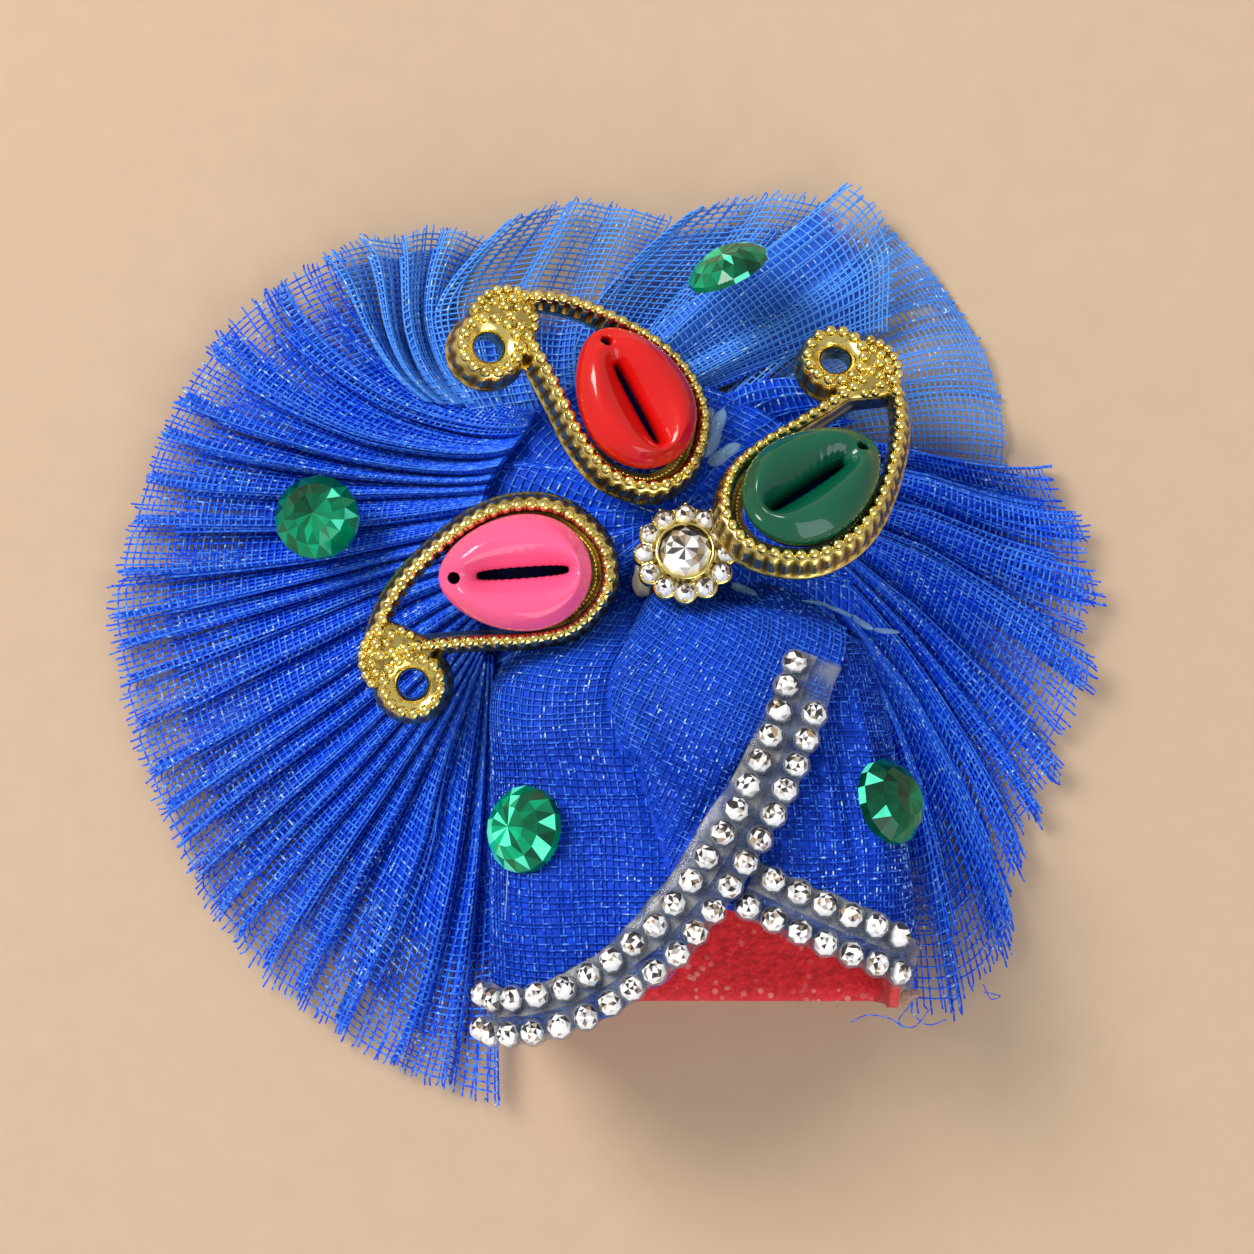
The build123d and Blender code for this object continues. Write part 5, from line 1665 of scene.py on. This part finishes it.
def stone_seats(line, rows):
    """Seats of the small round stones of a strip, as its solids place them."""
    seats = []
    for side, start, count in rows:
        want, last = start, None
        while count and want < line[2][-1]:
            turn, spot = strip_station(line, want)
            here = spot + turn @ np.array([0, side * 0.5 * STONE_ROWS,
                                           STRIP_WALL + STONE_LIFT])
            if last is None or np.linalg.norm(here - last) >= STONE_PITCH:
                seats.append((turn, here, 1.0))
                last, count = here, count - 1
            want += SEAT_STEP
    return seats


def clear_strip(name, line, count, margin):
    """Clear plastic strip with soft edges, wider where its bare margin shows."""
    rings, total = [], line[2][-1]
    for i in range(count + 1):
        share = i / count
        turn, spot = strip_station(line, total * share)
        grow = margin * math.sin(math.pi * min(1.0, max(0.0, (share - 0.18) / 0.74)))
        low = STRIP_LOW + 0.10 * math.sin(40 * share) - 0.05 * math.sin(90 * share)
        high = STRIP_HIGH + grow + 0.14 * math.sin(31 * share + 1)
        rim = [(low, 0.12), (low + 0.1, 0.55), (low + 0.5, 0.78), (0.0, 0.70),
               (high - 1.1 - 0.6 * grow, 0.66), (high - 0.2, 0.42), (high, 0.14),
               (high - 0.3, 0.05), (0.0, 0.03), (low + 0.3, 0.05)]
        rings.append([spot + turn @ np.array([0, y, z]) for y, z in rim])
    size = len(rings[0])
    points = np.array(rings).reshape(-1, 3)
    faces = grid_quads(len(rings), size, True, flip=True)
    bands = [1 if i % size in (3, 4, 5, 6) else 0 for i in range(len(faces))]
    faces += [tuple(range(size)), tuple(range(len(points) - 1, len(points) - size - 1, -1))]
    return new_piece(name, points, faces, ["strip", "strip edge"], paint_index=bands + [0, 0])


def cup_template():
    """Low clear cup round a small stone, with a rim that rises on two sides."""
    angle = round_steps(CUP_STEPS)
    rise = 0.16 * np.maximum(0, np.cos(2 * angle)) ** 4
    # Radius, height, and whether the rise counts
    rows = [(1.36, -0.35, 0), (1.66, -0.35, 0), (1.62, 0.30, 0), (1.52, 0.52, 1),
            (1.40, 0.50, 1), (1.36, 0.20, 0)]
    points = [(r * math.cos(a), r * math.sin(a), z + up * lift)
              for r, z, up in rows for a, lift in zip(angle, rise)]
    return points, ring_faces(len(rows), CUP_STEPS), True


def flap_stone_seat(left, across, along):
    """Seat of a green stone on a flap, as its solid is placed."""
    normal = flap_normal(left, across, along, NET_WALL + GAP)
    return (facing(normal, np.array([0.0, 1.0, 0.0])),
            flap_place(left, across, along, NET_WALL + 0.05))


def green_stone(name, seat, tone, lit_towards, spread, seed, height=3.6):
    """Round emerald stone with painted reflections: its facets are lightest towards a direction of
    its face.
    """
    points, faces, _ = stone_template(GREEN_STONE, height, 16, 0.46)
    points = moved(points, seat)
    source = np.random.RandomState(seed)
    values = []
    for face in faces:
        away = points[list(face)].mean(0) - points[-1]
        angle = math.atan2(away[1], away[0])
        level = tone + 0.22 * math.cos(angle - math.radians(lit_towards))
        level += spread * (source.rand() - 0.5)
        # Painted glints: a few facets are made fully bright
        values.append(1.0 if source.rand() > 1.0 - 0.16 * spread else level)
    return new_piece(name, points, faces, ["emerald"], False, facet=values)


def glue_drops(paint):
    """Set drops of one kind of glue: smooth uneven lumps."""
    angle = round_steps(DROP_STEPS)[None, :]
    tilt = np.linspace(-0.5 * np.pi, 0.5 * np.pi, DROP_RINGS + 2)[1:-1, None]
    points, faces = [], []
    for seed, (across, down, height, size, turn, kind) in enumerate(GLUE_DROPS):
        if kind != paint:
            continue
        lump = 1 + 0.20 * wobble(np.cos(angle) * 3 * np.cos(tilt),
                                 np.sin(angle) * 3 + tilt * 2, seed)
        x = np.cos(tilt) * np.cos(angle) * lump * size[0]
        y = np.cos(tilt) * np.sin(angle) * lump * size[1]
        z = np.broadcast_to(np.sin(tilt), x.shape) * size[2] * lump
        drop = np.stack([x, y, z], axis=-1).reshape(-1, 3)
        drop = np.concatenate([drop, [[0, 0, -size[2]], [0, 0, size[2]]]])
        faces += tube_faces(DROP_RINGS, DROP_STEPS, len(points) * len(drop))
        spot = np.array([*plan_place(across, down), height])
        points.append(moved(drop, (turned(turn, 0, 0), spot)))
    return new_piece(paint.replace(" ", "_"), np.concatenate(points), faces, [paint])


def loose_lines(routes):
    """Smooth lines of loose threads through their places."""
    lines = []
    for places in routes:
        table = np.array([(i, *plan_place(*place[:2]), place[2])
                          for i, place in enumerate(places)], float)
        steps = np.linspace(0, len(places) - 1, 30)
        line = np.stack([smooth_column(table, k, steps) for k in (1, 2, 3)], axis=-1)
        lines.append((line, 0.0, np.full(len(line), 0.6)))
    return lines


# Operators


# Painted reflections of each green stone: tone, direction of the lightest facets, spread and seed;
# and the height of the low one
STONE_LOOKS = {
    "green_stone_left_flap": (0.60, 200.0, 0.60, 5),
    "green_stone_right_flap": (0.34, -20.0, 0.24, 6),
    "green_stone_fan_left": (0.42, -60.0, 0.34, 7),
    "green_stone_fan_top": (0.50, 150.0, 0.45, 8, 2.4),
}
# Place and size in metres, power in watts and colour of each light, and strength of the sky
LIGHTS = {
    "window": ((-0.62, 0.55, 0.75), (0.45, 0.45), 11.4, (1.0, 0.97, 0.92)),
    "fill": ((0.40, -0.70, 0.55), (0.80, 0.80), 4.6, (0.94, 0.96, 1.0)),
}
SKY_STRENGTH = 0.56


class CROWN_OT_cap(bpy.types.Operator):
    """Felt cap inside the flaps"""

    bl_idname = "crown.cap"
    bl_label = "Felt cap"

    def execute(self, context):
        settle(felt_cap(), "felt_red", "cap_shell")
        return {"FINISHED"}


class CROWN_OT_flaps(bpy.types.Operator):
    """Net flaps folded over the cap"""

    bl_idname = "crown.flaps"
    bl_label = "Net flaps"

    def execute(self, context):
        sizes = context.scene.crown_sizes
        pitch = sizes.thread_pitch / MM
        for left, side in ((True, "left"), (False, "right")):
            cloth = settle(flap_cloth(side + "_flap_cloth", left), "net_blue", side + "_wrap")
            net = threads(side + "_flap_net", flap_lines(left, pitch), 0.85 * sizes.thread_width,
                          "flap warp", "flap weft")
            settle(net, "net_blue")
        return {"FINISHED"}


class CROWN_OT_fan(bpy.types.Operator):
    """Pleated net fan"""

    bl_idname = "crown.fan"
    bl_label = "Net fan"

    def execute(self, context):
        sizes = context.scene.crown_sizes
        pitch, fray = sizes.thread_pitch / MM, sizes.fray_length / MM
        for side, sheet in FAN_SHEETS.items():
            if sheet["cover"]:
                cloth = settle(fan_ground("fan_layers_" + side, sheet), "net_blue", "net_fan")
                flat = sheet_size(sheet, min(1.0, sheet["cover"][1]), 0.55)
            for ply in range(sheet["plies"]):
                name = "fan_net_" + side + ("_under" if ply else "")
                kind = "pale" if sheet.get("pale") else "net"
                net = threads(name, fan_lines(sheet, pitch, fray, ply), sizes.thread_width,
                              kind + " warp", kind + " weft")
                settle(net, "net_blue", "net_fan")
                sheet_size(sheet)
        middle = settle(gathered_middle(), "net_blue", "net_fan")
        net = threads("gathered_net", gather_lines(pitch), sizes.thread_width)
        settle(net, "net_blue", "net_fan")
        return {"FINISHED"}


class CROWN_OT_paisleys(bpy.types.Operator):
    """Beaded gold paisley frames with their cowrie shells"""

    bl_idname = "crown.paisleys"
    bl_label = "Paisley frames and cowries"

    def execute(self, context):
        points, faces, hollow_shades, beads = frame_parts()
        for colour, row in FRAME_SEATS.items():
            seat = root_seat(*row)
            node = "paisley_frame_" + colour
            body = new_piece("paisley_body_" + colour, moved(points, seat), faces, ["gold"],
                             hollow=hollow_shades)
            settle(body, "gold", node)
            seats = [(seat[0], moved([bead[:3]], seat)[0], bead[3]) for bead in beads]
            settle(seated("paisley_beads_" + colour, bead_template(), seats, "gold"),
                   "gold", node)
            shell = cowrie_shell("cowrie_shell_" + colour, colour, seat,
                                 *COWRIE_LIPS[colour])
            settle(shell, colour + "_plastic", "cowrie_" + colour)
            settle(shell_shade_card("cowrie_lining_" + colour, seat), "net_blue")
        return {"FINISHED"}


class CROWN_OT_flower(bpy.types.Operator):
    """Gold flower with its clear stones"""

    bl_idname = "crown.flower"
    bl_label = "Stone flower"

    def execute(self, context):
        seat = root_seat(*FLOWER_SEAT)
        points, faces = flower_plate()
        plate = new_piece("flower_plate", moved(points, seat), faces, ["gold"],
                          hollow=np.zeros(len(points)))
        settle(plate, "gold", "flower_setting")
        seats, claws = petal_seats(seat)
        settle(seated("flower_claws", bead_template(8), claws, "gold"), "gold",
               "flower_setting")
        # Facet light, shade and spread of the painted reflections, and a seed
        petals = seated("petal_stones", stone_template(PETAL_STONE, 1.3, 8), seats, "crystal",
                        0.46, -0.50, 0.36, 3)
        settle(petals, "crystal", "flower_petal_stones")
        middle = [(seat[0], moved([(0, 0, 1.3)], seat)[0], 1.0)]
        centre = seated("centre_stone", stone_template(CENTRE_STONE, 2.2, 12, 0.52), middle,
                        "crystal", 0.44, -0.40, 0.34, 8)
        settle(centre, "crystal", "flower_centre_stone")
        return {"FINISHED"}


class CROWN_OT_trims(bpy.types.Operator):
    """Clear strips with two rows of small stones"""

    bl_idname = "crown.trims"
    bl_label = "Stone trims"

    def execute(self, context):
        for name, route, left, rows, count, margin in (
                ("long_trim", LONG_ROUTE, True, LONG_STONES, 110, 1.2),
                ("short_trim", SHORT_ROUTE, False, SHORT_STONES, 40, 0.35)):
            line = route_line(route, left)
            settle(clear_strip(name + "_strip", line, count, margin), "clear_plastic", name)
            seats = stone_seats(line, rows)
            settle(seated(name + "_cups", cup_template(), seats, "strip"), "clear_plastic",
                   name)
            # Facet light, shade and spread of the painted reflections, and a seed
            stones = seated(name + "_rhinestones", stone_template(STONE_SIZE, STONE_HEIGHT, 8),
                            seats, "crystal", 0.52, -0.45, 0.62, 5 if left else 6)
            settle(stones, "crystal", name + "_stones")
        return {"FINISHED"}


class CROWN_OT_stones(bpy.types.Operator):
    """Round green stones on the fan and the flaps"""

    bl_idname = "crown.stones"
    bl_label = "Green stones"

    def execute(self, context):
        for name, place in FLAP_STONES.items():
            stone = green_stone(name + "_cut", flap_stone_seat(*place), *STONE_LOOKS[name])
            settle(stone, "emerald", name)
        for name, (angle, reach, height, lean, towards) in FAN_STONES.items():
            around = math.radians(angle)
            spot = FAN_HUB + FAN_REACH * reach * np.array([math.cos(around), math.sin(around), 0])
            spot = spot + np.array([0, 0, FAN_DEPTH * height])
            stone = green_stone(name + "_cut", (turned(0, lean, towards), spot),
                                *STONE_LOOKS[name])
            settle(stone, "emerald", name)
        return {"FINISHED"}


class CROWN_OT_glue(bpy.types.Operator):
    """Set drops of glue and the loose threads"""

    bl_idname = "crown.glue"
    bl_label = "Glue and loose threads"

    def execute(self, context):
        for paint in ("clear glue", "cream glue", "brown glue"):
            settle(glue_drops(paint), "clear_plastic")
        width = context.scene.crown_sizes.thread_width
        nylon = threads("nylon_threads", loose_lines(NYLON_THREADS), 0.4 * width,
                        "nylon thread", "nylon thread")
        settle(nylon, "clear_plastic")
        loose = threads("loose_threads", loose_lines(LOOSE_THREADS), 0.6 * width)
        settle(loose, "net_blue")
        return {"FINISHED"}


class CROWN_OT_stage(bpy.types.Operator):
    """Plain floor, soft light and the camera"""

    bl_idname = "crown.stage"
    bl_label = "Stage"

    def execute(self, context):
        sizes = context.scene.crown_sizes
        half = 0.5 * sizes.floor_width / MM
        places = [(-half, -half), (half, -half), (half, half), (-half, half)]
        new_piece("floor", at_height(places, -0.05), [(0, 1, 2, 3)], ["floor"])
        for name, row in LIGHTS.items():
            soft_light(name, *row)
        world = bpy.data.worlds.new("studio")
        world.use_nodes = True
        sky = world.node_tree.nodes["Background"].inputs
        sky["Color"].default_value = (1, 1, 1, 1)
        sky["Strength"].default_value = SKY_STRENGTH
        context.scene.world = world
        context.scene.view_settings.view_transform = "Standard"
        add_camera(context.scene, sizes.camera_height)
        return {"FINISHED"}


def soft_light(name, place, size, power, colour):
    """Large area light that looks at the crown."""
    lamp = bpy.data.lights.new(name, "AREA")
    lamp.shape, lamp.size, lamp.size_y = "RECTANGLE", *size
    lamp.energy, lamp.color = power, colour
    light = linked(name, lamp)
    light.location = place
    light.rotation_euler = (-Vector(place)).to_track_quat("-Z", "Y").to_euler()


def add_camera(scene, height):
    """Camera straight above the crown, as the photograph shows it."""
    lens = bpy.data.cameras.new("camera")
    lens.sensor_width = 36.0
    lens.lens = lens.sensor_width * height / (FLOOR_SPAN * MM)
    camera = linked("camera", lens)
    camera.location = Vector(to_metres([(CAMERA_X, CAMERA_Y, 0.0)])[0]) + Vector((0, 0, height))
    scene.camera = camera


class CROWN_PT_panel(bpy.types.Panel):
    """Steps that build the crown"""

    bl_label = "Mukut crown"
    bl_idname = "CROWN_PT_panel"
    bl_space_type = "VIEW_3D"
    bl_region_type = "UI"
    bl_category = "Crown"

    def draw(self, context):
        for step in STEPS:
            self.layout.operator(step.bl_idname)
        for group in (context.scene.crown_sizes, context.scene.crown_colours):
            for key in group.__annotations__:
                self.layout.prop(group, key)


STEPS = [CROWN_OT_stage, CROWN_OT_cap, CROWN_OT_flaps, CROWN_OT_fan, CROWN_OT_paisleys,
         CROWN_OT_flower, CROWN_OT_trims, CROWN_OT_stones, CROWN_OT_glue]
CLASSES = [CrownSizes, CrownColours, *STEPS, CROWN_PT_panel]


def register():
    """Register the classes and hang their sizes and colours on the scene."""
    for item in CLASSES:
        bpy.utils.register_class(item)
    bpy.types.Scene.crown_sizes = PointerProperty(type=CrownSizes)
    bpy.types.Scene.crown_colours = PointerProperty(type=CrownColours)


def unregister():
    """Take the classes and their values away again."""
    del bpy.types.Scene.crown_colours
    del bpy.types.Scene.crown_sizes
    for item in reversed(CLASSES):
        bpy.utils.unregister_class(item)


def main():
    """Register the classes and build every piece."""
    register()
    for step in STEPS:
        group, name = step.bl_idname.split(".")
        getattr(getattr(bpy.ops, group), name)()


if __name__ == "__main__":
    main()
